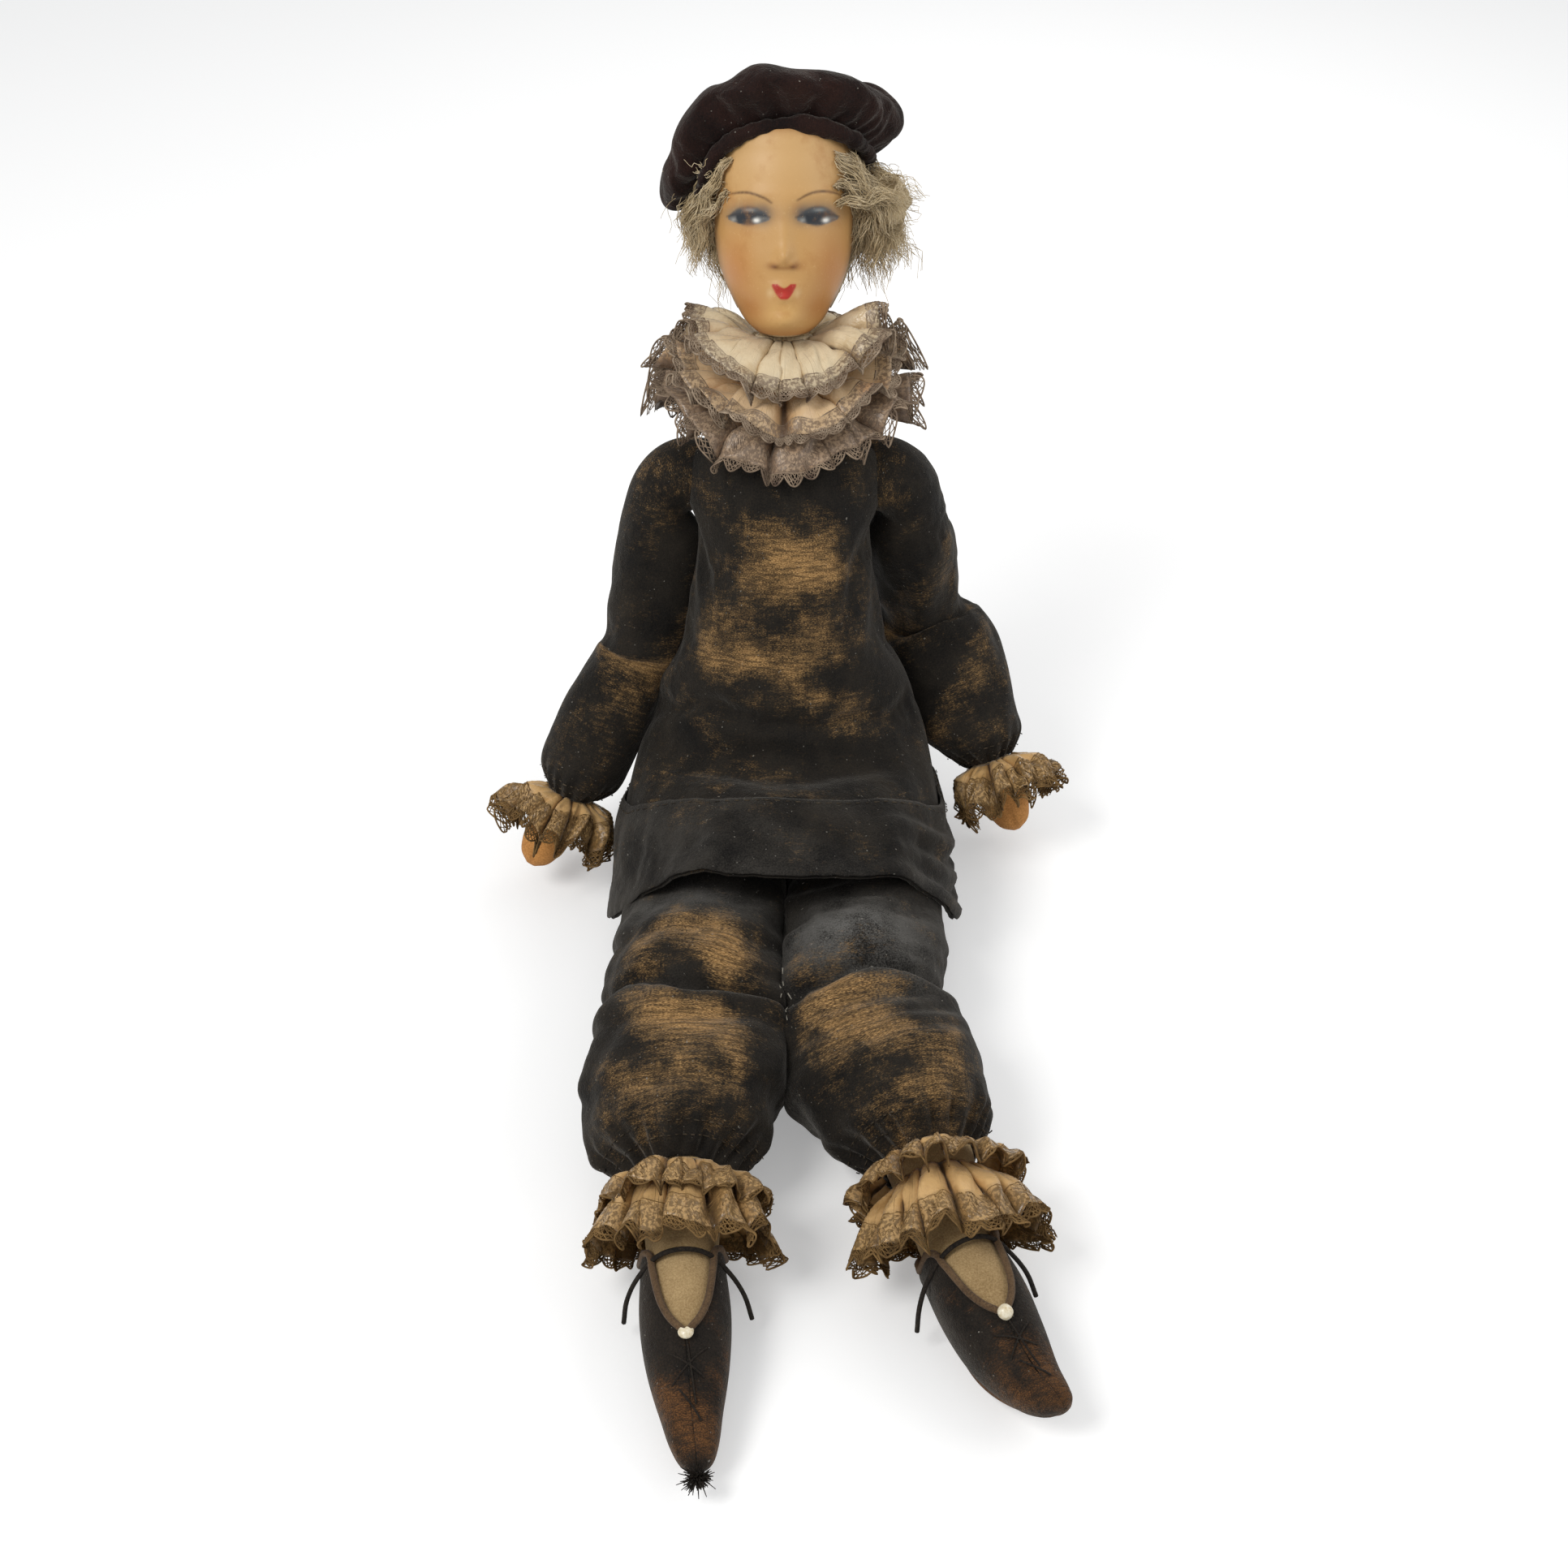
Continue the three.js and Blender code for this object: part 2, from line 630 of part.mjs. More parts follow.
// Arms: each is a stuffed upper arm and forearm sewn flat at the elbow, in a two-part sleeve
const SLEEVE_CUT = SHOULDER_OUT - 12.4; // the sleeve starts this far out, clear of the tunic
const ARM_POSES = {
  left: { side: 1, upper: [-5, 12.7], lower: [38, 20], hand: [18, 22] },
  right: { side: -1, upper: [17.5, 11.2], lower: [30, 23], hand: [38, 30] },
};
const WRIST = 10.4;
const UPPER_ARM_CORE = [
  [6, 12, 12, 12],
  [22, 14.5, 15, 15],
  [55, 15.3, 16, 16],
  [82, 12, 14, 14],
  [UPPER_ARM - SEAM, 10, SEAM, SEAM],
];
const UPPER_SLEEVE = [
  [-23.4, 2, 2, 2],
  [-19, 13, 13, 13],
  [-10, 20, 20, 20],
  [8, 21.5, 22.5, 22.5],
  [40, 18.5, 21.5, 21.5],
  [72, 16.5, 21, 21],
  [UPPER_ARM - 1, 15, 19, 19],
];
const UPPER_SLEEVE_LINING = [
  [-21.4, 1.5, 1.5, 1.5],
  [-17.5, 11.5, 11.5, 11.5],
  [-9, 18.4, 18.4, 18.4],
];
const FOREARM_CORE = [
  [SEAM, 10, SEAM, SEAM],
  [18, 12.5, 13.5, 13],
  [50, 13, 13.5, 13],
  [78, WRIST + 0.8, WRIST + 0.8, WRIST + 0.8],
  [FOREARM, WRIST, WRIST, WRIST],
];
const LOWER_SLEEVE = [
  [1, 15, 18, 18],
  [20, 19, 21, 21],
  [42, 22.5, 23.5, 23.5],
  [66, 23, 23.5, 23.5],
  [79, 18, 18, 18],
  [FOREARM - 1, WRIST + GAP + CLOTH, WRIST + GAP + CLOTH, WRIST + GAP + CLOTH],
];
const HAND_FORM = [
  [1.7, 4, 4, 4],
  [5, 8, 8, 8],
  [10, 9.5, 8, 8],
  [22, 12, 8.5, 8],
  [35, 10, 7.5, 7],
  [HAND, 4, 3, 3],
];

// Points -Z of a group forward by the first angle and outwards by the second.
function aim(group, side, [forward, out]) {
  group.rotation.set(-radians(forward), -side * radians(out), 0);
  group.updateWorldMatrix(true, false);
}

const endOf = (group, along) => group.localToWorld(point(0, 0, -along));
const armSkew = (group) => Math.tan(group.rotation.y);
const legSkew = (group) => -Math.tan(group.rotation.z);

function upperSleeve(group, side) {
  const options = { endSlope: foldSlope, endSkew: armSkew(group) };
  const outer = limbRings(UPPER_SLEEVE, options);
  const lining = [...UPPER_SLEEVE_LINING, ...shrunk(UPPER_SLEEVE.slice(UPPER_SLEEVE_LINING.length))];
  return cut(cup(outer, limbRings(lining, options)), insideOf(group, side, SLEEVE_CUT));
}

const shrunk = (stations) =>
  stations.map(([along, ...sizes]) => [along, ...sizes.map((size) => size - CLOTH)]);

const WRIST_FRILL = { radius: 23.5, reach: 14, pleats: 12, depth: 2.6, lace: 1.3 };

function wristFrill(part) {
  const { radius, reach, pleats, depth, lace } = WRIST_FRILL;
  const inner = evenRim(WRIST + GAP + SILK, -FOREARM);
  const outer = evenRim(radius, -FOREARM - reach);
  if (part === "silk") return frill({ inner, outer, pleats, depth, thickness: SILK });
  return frill({ inner, outer, pleats, depth, thickness: LACE, from: LACE_FROM + 0.02, to: lace });
}

function addArm(name, { side, upper, lower, hand }) {
  const upperArm = addGroup(doll, `${name}_upper_arm`);
  body.updateWorldMatrix(true, false);
  upperArm.position.copy(body.localToWorld(point(side * SHOULDER_OUT, 0, SHOULDER_UP)));
  aim(upperArm, side, upper);
  const upperOptions = { endSkew: armSkew(upperArm) };
  const shoulder = ball(ARM_BALL, point(0, 0, 0), ROUND, BALL_STEPS);
  const core = join(stuffed(limbRings(UPPER_ARM_CORE, upperOptions)), shoulder);
  addPiece(upperArm, `${name}_stuffed_upper_arm`, core, BODY_CLOTH);
  addPiece(upperArm, `${name}_upper_sleeve`, upperSleeve(upperArm, side), BLACK_VELVET);

  const forearm = addGroup(doll, `${name}_forearm`);
  forearm.position.copy(endOf(upperArm, UPPER_ARM));
  aim(forearm, side, lower);
  const coreOptions = { startSkew: armSkew(forearm) };
  const sleeveOptions = { startSlope: foldSlope, startSkew: armSkew(forearm) };
  addPiece(forearm, `${name}_stuffed_forearm`, stuffed(limbRings(FOREARM_CORE, coreOptions)), BODY_CLOTH);
  addPiece(forearm, `${name}_lower_sleeve`, limbSleeve(LOWER_SLEEVE, sleeveOptions), BLACK_VELVET);
  addPiece(forearm, `${name}_wrist_ruffle`, wristFrill("silk"), CUFF_SILK);
  addPiece(forearm, `${name}_wrist_lace`, wristFrill("lace"), LACE_THREAD);

  const mitten = addGroup(doll, `${name}_mitten`);
  mitten.position.copy(endOf(forearm, FOREARM));
  aim(mitten, side, hand);
  addPiece(mitten, `${name}_hand`, stuffed(limbRings(HAND_FORM)), HAND_FELT);
}

for (const [name, pose] of Object.entries(ARM_POSES)) addArm(name, pose);

// Legs: stuffed thigh and lower leg sewn flat at the knee, in a two-part trouser leg.
// A leg group's -Z runs forward, its -Y is up, and it folds on its underside.
const UNDERSIDE = 1;
const LEG_POSES = {
  left: { side: 1, thighYaw: 3.5, shinYaw: 12, footYaw: 21, footUp: 5 },
  right: { side: -1, thighYaw: -3.3, shinYaw: 2.5, footYaw: 4.5, footUp: 0 },
};
const SHIN_DOWN = 5; // degrees that the lower leg slopes to the floor
const ANKLE = 20;
const THIGH_CORE = [
  [SEAM, 22, SEAM, SEAM],
  [13, 24, 16, 13],
  [35, 28, 28.4, 26],
  [80, 30, 31.2, 31],
  [115, 25, 22, 20],
  [THIGH - SEAM, 18, SEAM, SEAM],
];
const UPPER_TROUSER = [
  [8, 32, 26, 28],
  [38, 34, 31, 34],
  [72, 36, 33, 36],
  [106, 40, 36, 37],
  [THIGH - 1, 38, 27, 33],
];
const SHIN_CORE = [
  [SEAM, 18, SEAM, SEAM],
  [18, 22, 16, 14],
  [45, 24, 23, 22],
  [82, ANKLE, ANKLE, ANKLE],
  [92, ANKLE - 0.6, ANKLE - 0.6, ANKLE - 0.6],
  [112, 17, 17, 17],
  [SHIN, 16, 16, 17],
];
const LOWER_TROUSER = [
  [1, 38, 27, 30],
  [28, 43, 37, 33.5],
  [54, 42, 37, 31.5],
  [74, 35, 33, 28],
  [86, ANKLE + 2.2, ANKLE + 2.2, ANKLE + 2.2],
];
const ANKLE_TIERS = [
  { name: "upper", seat: 88, radius: ANKLE, width: 36, up: 34, down: 29, reach: 17, lace: 0 },
  { name: "lower", seat: 98, radius: ANKLE - 1, width: 41, up: 36, down: 24, reach: 22, lace: 1.28 },
];

const ANKLE_PLEATS = { pleats: 16, depth: 2.6 };
const HEEL_SHARE = 0.55; // of its reach, where a tier stops short of the heel

function ankleFrill(tier, part) {
  const start = -tier.seat;
  const end = start - tier.reach;
  const underEnd = start - HEEL_SHARE * tier.reach;
  const edges = {
    inner: evenRim(tier.radius + GAP + SILK / 4, start),
    outer: rim(tier.width, tier.up, tier.down, end, end, underEnd),
    ...ANKLE_PLEATS,
  };
  if (part === "silk") return frill({ ...edges, thickness: SILK });
  return frill({ ...edges, thickness: LACE, from: LACE_FROM + 0.01, to: tier.lace });
}

// Foot and slipper, along -Z from the ankle. A station is [along, half width, instep up, sole down].
const SOLE_DEPTH = 26;
const FOOT_FORM = [
  [-8, 14.5, 15, 17],
  [8, 16.5, 15, SOLE_DEPTH],
  [28, 18, 12, SOLE_DEPTH],
  [50, 17.5, 6, SOLE_DEPTH],
  [70, 12.5, -3, SOLE_DEPTH],
  [85, 5.5, -11, SOLE_DEPTH - 1],
];
const SHOE_CLOTH = 1.8;
const SHOE_FORM = [
  [-3, 15.5, 15, 21],
  [8, 16.5, 15, SOLE_DEPTH],
  [28, 18, 12, SOLE_DEPTH],
  [50, 17.5, 6, SOLE_DEPTH],
  [70, 12.5, -3, SOLE_DEPTH],
  [86, 5.5, -10, SOLE_DEPTH - 2],
  [FOOT, 1.2, -15, SOLE_DEPTH - 8],
];
const THROAT_END = 44; // the slipper's opening runs from the ankle to this point of the instep
const THROAT = [
  [-30, 17, 60, 4],
  [-2, 14, 60, 4],
  [14, 13, 60, 0],
  [30, 10, 60, -2],
  [THROAT_END, 2, 60, -4],
];
const SOLE_TOP = SOLE_DEPTH + GAP + 1.2;
const SOLE = 2;
const SOLE_HEEL = 2; // places along the sole, and its half width at its middle
const SOLE_MIDDLE = -34;
const SOLE_TOE = -82;
const SOLE_HALF = 13;
const BEAD_RADIUS = 3.4;
const TIE_RADIUS = 1.1;
const TUFT_RADIUS = 5;

// The instep's height above the ankle's line at a place along the foot.
function instepAt(along) {
  const after = FOOT_FORM.findIndex((station) => station[0] > along);
  const [from, , low] = FOOT_FORM[after - 1];
  const [to, , high] = FOOT_FORM[after];
  return low + ((high - low) * (along - from)) / (to - from);
}

const footForm = (grow) => stuffed(limbRings(FOOT_FORM, { grow }));

function lowerLeg(shin, foot) {
  const calf = stuffed(limbRings(SHIN_CORE, { startSkew: legSkew(shin) }));
  return join(calf, seenFrom(foot, shin, footForm(0)));
}

function shoeUpper(shin, foot) {
  const shell = stuffed(limbRings(SHOE_FORM, { grow: GAP + SHOE_CLOTH }));
  const ankle = seenFrom(shin, foot, stuffed(limbRings(SHIN_CORE, { grow: GAP })));
  const below = box(BLOCK, BLOCK, BLOCK).translate(0, SOLE_TOP + BLOCK / 2, 0);
  const throat = stuffed(limbRings(THROAT));
  return cut(shell, footForm(GAP), ankle, below, throat);
}

// The sole's outline is drawn across and along the foot, and its thickness runs down.
function shoeSole() {
  const outline = new THREE.Shape();
  outline.moveTo(0, SOLE_HEEL);
  outline.bezierCurveTo(14, SOLE_HEEL, 12, -16, SOLE_HALF, SOLE_MIDDLE);
  outline.bezierCurveTo(14, -52, 9, -68, 0, SOLE_TOE);
  outline.bezierCurveTo(-9, -68, -14, -52, -SOLE_HALF, SOLE_MIDDLE);
  outline.bezierCurveTo(-12, -16, -14, SOLE_HEEL, 0, SOLE_HEEL);
  const plate = new THREE.ExtrudeGeometry(outline, { depth: SOLE, bevelEnabled: false, curveSegments: 6 });
  return bareMesh(plate).rotateX(Math.PI / 2).translate(0, SOLE_TOP + GAP + SOLE, 0);
}

function shoeTie() {
  const route = [
    [-27, 21, 17],
    [-25, 8, 15],
    [-20, -3, 12],
    [-11, -15, 10],
    [0, -19.5, 10],
    [11, -15, 10],
    [20, -3, 12],
    [26, 8, 16],
    [29, 20, 20],
  ].map(([x, y, along]) => point(x, y, -along));
  const path = new THREE.CatmullRomCurve3(route);
  const section = new THREE.Shape().absarc(0, 0, TIE_RADIUS, 0, 2 * Math.PI);
  return bareMesh(new THREE.ExtrudeGeometry(section, { steps: 16, extrudePath: path, curveSegments: 4 }));
}

function aimLeg(group, yaw, down) {
  group.rotation.set(radians(down - 90), 0, radians(yaw), "ZXY");
  group.updateWorldMatrix(true, false);
}

function addLeg(name, { side, thighYaw, shinYaw, footYaw, footUp }) {
  const thigh = addGroup(doll, `${name}_thigh`);
  thigh.position.set(side * HIP_OUT, -HIP_FORWARD, HIP_HEIGHT);
  aimLeg(thigh, thighYaw, 0);
  const thighOptions = { startSkew: legSkew(thigh), endSkew: legSkew(thigh) };
  const trouser = { count: LEG_ROUND, fold: UNDERSIDE };
  const upperOptions = { ...thighOptions, ...trouser, startSlope: hipSlope, endSlope: foldSlope };
  addPiece(thigh, `${name}_stuffed_thigh`, stuffed(limbRings(THIGH_CORE, thighOptions)), BODY_CLOTH);
  addPiece(thigh, `${name}_upper_trouser_leg`, limbSleeve(UPPER_TROUSER, upperOptions), BLACK_VELVET);

  const shin = addGroup(doll, `${name}_shin`);
  shin.position.copy(endOf(thigh, THIGH));
  aimLeg(shin, shinYaw, SHIN_DOWN);
  const foot = addGroup(doll, `${name}_foot`);
  foot.position.copy(endOf(shin, SHIN));
  aimLeg(foot, footYaw, -footUp);
  addPiece(shin, `${name}_stuffed_lower_leg`, lowerLeg(shin, foot), STOCKING);
  const lowerOptions = { ...trouser, startSlope: foldSlope, startSkew: legSkew(shin) };
  addPiece(shin, `${name}_lower_trouser_leg`, limbSleeve(LOWER_TROUSER, lowerOptions), BLACK_VELVET);
  for (const tier of ANKLE_TIERS) {
    addPiece(shin, `${name}_ankle_${tier.name}_ruffle`, ankleFrill(tier, "silk"), CUFF_SILK);
    if (tier.lace) addPiece(shin, `${name}_ankle_lace`, ankleFrill(tier, "lace"), LACE_THREAD);
  }

  addPiece(foot, `${name}_shoe_upper`, shoeUpper(shin, foot), BLACK_VELVET);
  addPiece(foot, `${name}_shoe_sole`, shoeSole(), SOLE_LEATHER);
  const beadAlong = THROAT_END + 2;
  const beadUp = instepAt(beadAlong) + SHOE_CLOTH + 2 * GAP + BEAD_RADIUS;
  const beadSeat = point(0, -beadUp, -beadAlong);
  addPiece(foot, `${name}_shoe_bead`, ball(BEAD_RADIUS, beadSeat, 8, 5), BEAD);
  addPiece(foot, `${name}_shoe_tie`, shoeTie(), TIE_CORD);
}

for (const [name, pose] of Object.entries(LEG_POSES)) addLeg(name, pose);

// The tuft of thread that is left on one toe
function toeTuft() {
  const [along, , up, down] = SHOE_FORM[SHOE_FORM.length - 1];
  return ball(TUFT_RADIUS, point(0, (down - up) / 2, -along - GAP - TUFT_RADIUS), 10, 5);
}
addPiece(doll.getObjectByName("right_foot"), "right_toe_tuft", toeTuft(), TIE_CORD);

export default doll;
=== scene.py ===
# %% [markdown]
# # A velvet boudoir doll, dressed over its frame
# The doll sits on the floor with its legs stretched out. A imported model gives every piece's place and
# every joint. This lesson builds the looks around it: worn velvet, pleated silk, lace, mohair and a
# painted cloth face. The frame is loaded first, because every piece rides on one of its bodies.

# %% Load the frame
import math
import bpy
import bmesh
import numpy as np
from mathutils import Matrix, Vector


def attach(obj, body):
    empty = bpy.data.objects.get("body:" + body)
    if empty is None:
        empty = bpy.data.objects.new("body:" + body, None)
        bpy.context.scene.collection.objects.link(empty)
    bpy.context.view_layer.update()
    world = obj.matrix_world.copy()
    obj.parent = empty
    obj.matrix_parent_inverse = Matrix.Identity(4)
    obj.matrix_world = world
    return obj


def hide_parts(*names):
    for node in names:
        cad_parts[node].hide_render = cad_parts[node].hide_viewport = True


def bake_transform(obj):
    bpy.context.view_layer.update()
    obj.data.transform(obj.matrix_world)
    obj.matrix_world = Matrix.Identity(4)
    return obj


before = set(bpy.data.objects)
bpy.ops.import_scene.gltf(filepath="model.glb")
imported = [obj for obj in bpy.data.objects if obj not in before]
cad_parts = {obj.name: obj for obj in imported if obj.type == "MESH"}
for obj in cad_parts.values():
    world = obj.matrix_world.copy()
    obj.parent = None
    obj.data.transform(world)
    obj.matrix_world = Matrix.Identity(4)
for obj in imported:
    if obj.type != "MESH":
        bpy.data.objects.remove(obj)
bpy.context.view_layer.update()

scene = bpy.context.scene
scene.view_settings.view_transform = "Standard"
MM = 0.001

# %% [markdown]
# ## Camera, light and floor
# The doll is seen from above the toes, from about a metre away. A studio would hang one large soft lamp
# above and to the left and let a pale room fill the shadows. A big area lamp and an even world do that
# here. The floor is a pale sheet that turns lighter for the camera, and it still catches the shadow.

# %% Camera
IMAGE = 1932
FOCUS = 2400  # pixels
AIM = Vector((0, -65, 95)) * MM
CAMERA_REACH = 1.0
CAMERA_RISE = math.radians(40)
SENSOR = 36.0

camera_data = bpy.data.cameras.new("camera")
camera_data.sensor_width = SENSOR
camera_data.lens = SENSOR * FOCUS / IMAGE
camera = bpy.data.objects.new("camera", camera_data)
scene.collection.objects.link(camera)
camera.location = AIM + CAMERA_REACH * Vector((0, -math.cos(CAMERA_RISE), math.sin(CAMERA_RISE)))
camera.rotation_euler = (math.pi / 2 - CAMERA_RISE, 0, 0)
scene.camera = camera


def lamp(name, place, aim, size, watts):
    """A soft square lamp at a place, turned towards its aim."""
    data = bpy.data.lights.new(name, "AREA")
    data.size = size
    data.energy = watts
    holder = bpy.data.objects.new(name, data)
    holder.location = place
    holder.rotation_euler = (Vector(aim) - Vector(place)).to_track_quat("-Z", "Y").to_euler()
    scene.collection.objects.link(holder)


lamp("key_lamp", (-0.9, -0.75, 1.5), (0, -0.1, 0.12), size=0.7, watts=15)
lamp("side_lamp", (1.1, -0.2, 1.0), (0, -0.1, 0.15), size=0.8, watts=4)
lamp("back_lamp", (0.3, 1.2, 1.1), (0, 0, 0.2), size=0.8, watts=4)
world = bpy.data.worlds.new("room")
scene.world = world
world.use_nodes = True
room = world.node_tree.nodes["Background"]
room.inputs["Color"].default_value = (0.95, 0.97, 1.0, 1)
room.inputs["Strength"].default_value = 0.55
print("camera at", [round(v, 3) for v in camera.location])

# %% [markdown]
# ## Finishes
# A finish is a small tree of shader nodes. These helpers keep each one short: a noise, a colour ramp, a
# mix, a sum, and a bump for the surface's height. Patterns read the piece's own UV map, measured in
# metres along the cloth, or an attribute stored on its points, so they stay put when a limb moves.

# %% Node helpers
NOISE_ROUGHNESS = 0.6


class Finish:
    """A material whose nodes are added one call at a time. Each call returns an output socket."""

    def __init__(self, name, roughness=0.8, specular=0.3, **sockets):
        self.material = bpy.data.materials.new(name)
        self.material.use_nodes = True
        self.tree = self.material.node_tree
        self.shader = self.tree.nodes["Principled BSDF"]
        self.shader.inputs["Roughness"].default_value = roughness
        self.shader.inputs["Specular IOR Level"].default_value = specular
        for socket, value in sockets.items():
            self.shader.inputs[socket.replace("_", " ")].default_value = value

    def put(self, socket, value):
        """Links an output to a socket, or sets the socket to a plain value."""
        if isinstance(value, bpy.types.NodeSocket):
            self.tree.links.new(value, socket)
        else:
            socket.default_value = value

    def node(self, kind, output=0, settings=(), **inputs):
        made = self.tree.nodes.new(kind)
        for name, value in settings:
            setattr(made, name, value)
        for name, value in inputs.items():
            self.put(made.inputs[name.replace("_", " ")], value)
        return made.outputs[output]

    def coordinates(self, source, scale=(1, 1, 1)):
        place = self.node("ShaderNodeTexCoord", source)
        return self.node("ShaderNodeMapping", Vector=place, Scale=scale)

    def noise(self, scale, detail, source="Object", stretch=(1, 1, 1)):
        vector = self.coordinates(source, stretch)
        return self.node("ShaderNodeTexNoise", Vector=vector, Scale=scale, Detail=detail,
                         Roughness=NOISE_ROUGHNESS)

    def weave(self, detail, across, along):
        """A noise stretched along the cloth, from how fine it is across and along."""
        return self.noise(1.0, detail, "UV", (across, along, 1))

    def wave(self, scale, distortion):
        settings = [("bands_direction", "DIAGONAL")]
        vector = self.coordinates("Object")
        return self.node("ShaderNodeTexWave", 1, settings, Vector=vector, Scale=scale, Distortion=distortion)

    def attribute(self, name, output="Fac"):
        return self.node("ShaderNodeAttribute", output, [("attribute_name", name)])

    def maths(self, operation, first, second):
        made = self.tree.nodes.new("ShaderNodeMath")
        made.operation = operation
        self.put(made.inputs[0], first)
        self.put(made.inputs[1], second)
        return made.outputs[0]

    def times(self, value, factor):
        return self.maths("MULTIPLY", value, factor)

    def weigh(self, first, first_share, second, second_share):
        """Two values added, each with its own weight."""
        return self.maths("ADD", self.times(first, first_share), self.times(second, second_share))

    def band(self, value, low, high):
        """0 below low, 1 above high, and smooth between them."""
        made = self.tree.nodes.new("ShaderNodeMapRange")
        made.interpolation_type = "SMOOTHSTEP"
        self.put(made.inputs["Value"], value)
        made.inputs["From Min"].default_value = low
        made.inputs["From Max"].default_value = high
        return made.outputs[0]

    def mix(self, share, first, second):
        """The second colour over the first, by a share. A colour is a socket or a screen colour."""
        made = self.tree.nodes.new("ShaderNodeMix")
        made.data_type = "RGBA"
        self.put(made.inputs["Factor"], share)
        for socket, colour in ((made.inputs[6], first), (made.inputs[7], second)):
            self.put(socket, colour if isinstance(colour, bpy.types.NodeSocket) else srgb(colour))
        return made.outputs[2]

    def ramp(self, value, *stops):
        made = self.tree.nodes.new("ShaderNodeValToRGB")
        self.put(made.inputs[0], value)
        while len(made.color_ramp.elements) < len(stops):
            made.color_ramp.elements.new(0.5)
        for element, (place, colour) in zip(made.color_ramp.elements, stops):
            element.position = place
            element.color = srgb(colour)
        return made.outputs[0]

    def bump(self, height, distance, strength=1.0):
        made = self.tree.nodes.new("ShaderNodeBump")
        made.inputs["Distance"].default_value = distance
        made.inputs["Strength"].default_value = strength
        self.put(made.inputs["Height"], height)
        if self.shader.inputs["Normal"].is_linked:
            self.tree.links.new(self.shader.inputs["Normal"].links[0].from_socket, made.inputs["Normal"])
        self.tree.links.new(made.outputs[0], self.shader.inputs["Normal"])

    def colour(self, value):
        self.put(self.shader.inputs["Base Color"], value)

    def rough(self, value):
        self.put(self.shader.inputs["Roughness"], value)


def srgb(colour):
    """A screen colour (0 to 255) as the linear colour that a shader uses."""
    share = [c / 255 for c in colour]
    linear = [c / 12.92 if c <= 0.04045 else ((c + 0.055) / 1.055) ** 2.4 for c in share]
    return (*linear, 1.0)


# %% Floor
FLOOR_HALF = 6.0
FLOOR_GLOW = 0.3  # added only where the paper is looked at, so that it looks white
floor_mesh = bpy.data.meshes.new("floor")
corners = [(-1, -1), (1, -1), (1, 1), (-1, 1)]
floor_mesh.from_pydata([(x * FLOOR_HALF, y * FLOOR_HALF, 0) for x, y in corners], [], [(0, 1, 2, 3)])
floor = bpy.data.objects.new("floor", floor_mesh)
scene.collection.objects.link(floor)
paper = Finish("floor_paper", 0.9, 0.1)
grain = paper.noise(900, 2)
paper.colour(paper.ramp(grain, (0.3, (232, 231, 229)), (0.7, (238, 237, 235))))
path = paper.tree.nodes.new("ShaderNodeLightPath").outputs
mirrored = paper.maths("MAXIMUM", path["Is Glossy Ray"], path["Is Transmission Ray"])
seen = paper.maths("MAXIMUM", path["Is Camera Ray"], mirrored)
paper.put(paper.shader.inputs["Emission Strength"], paper.times(seen, FLOOR_GLOW))
paper.shader.inputs["Emission Color"].default_value = (1, 1, 1, 1)
floor_mesh.materials.append(paper.material)
print("floor", FLOOR_HALF * 2, "m wide")

# %% [markdown]
# ## Frames of the body and the limbs
# The torso leans back, and each limb is a straight run with its own turn and start. A place here is a
# turn and an origin in millimetres. Shapes are drawn in the limb's own frame, where they are simple, and
# the place carries them to the doll.

# %% Places
def turned(axis, degrees):
    return np.array(Matrix.Rotation(math.radians(degrees), 3, axis))


class Place:
    """A turn and an origin. Calling it carries points from a limb's own frame to the doll."""

    def __init__(self, turn, origin):
        self.turn = turn
        self.origin = np.array(origin, float)

    def __call__(self, points):
        return np.asarray(points, float) @ self.turn.T + self.origin

    def inside(self, turn, origin):
        return Place(self.turn @ turn, self(origin))


LEAN = 22
BODY = Place(turned("X", -LEAN), (0, -20, 45))
CHIN = 251
NECK_BASE = 206
CAP_TIP_BACK = 16
CAP_TIP_ASIDE = 7
CAP = BODY.inside(turned("X", -CAP_TIP_BACK) @ turned("Y", -CAP_TIP_ASIDE), (-1, 2, CHIN + 82))
UPPER_ARM = 98
FOREARM = 88
THIGH = 137
SHIN = 125
SHOULDER_OUT = 63
SHOULDER_UP = 181
SIDES = {"left": 1, "right": -1}
ARM_TURNS = {  # forward and outward, in degrees
    "left": {"upper": (-5, 12.7), "lower": (38, 20), "hand": (18, 22)},
    "right": {"upper": (17.5, 11.2), "lower": (30, 23), "hand": (38, 30)},
}
LEG_TURNS = {  # turned out, and down for the foot
    "left": {"thigh": 3.5, "shin": 12, "foot": (21, -5)},
    "right": {"thigh": -3.3, "shin": 2.5, "foot": (4.5, 0)},
}
SHIN_DOWN = 5
HIP_OUT = 42
HIP_FORWARD = -50
HIP_UP = 42


def arm_place(side, origin, forward, out):
    return Place(turned("X", -forward) @ turned("Y", -side * out), origin)


def leg_place(origin, yaw, down):
    return Place(turned("Z", yaw) @ turned("X", down - 90), origin)


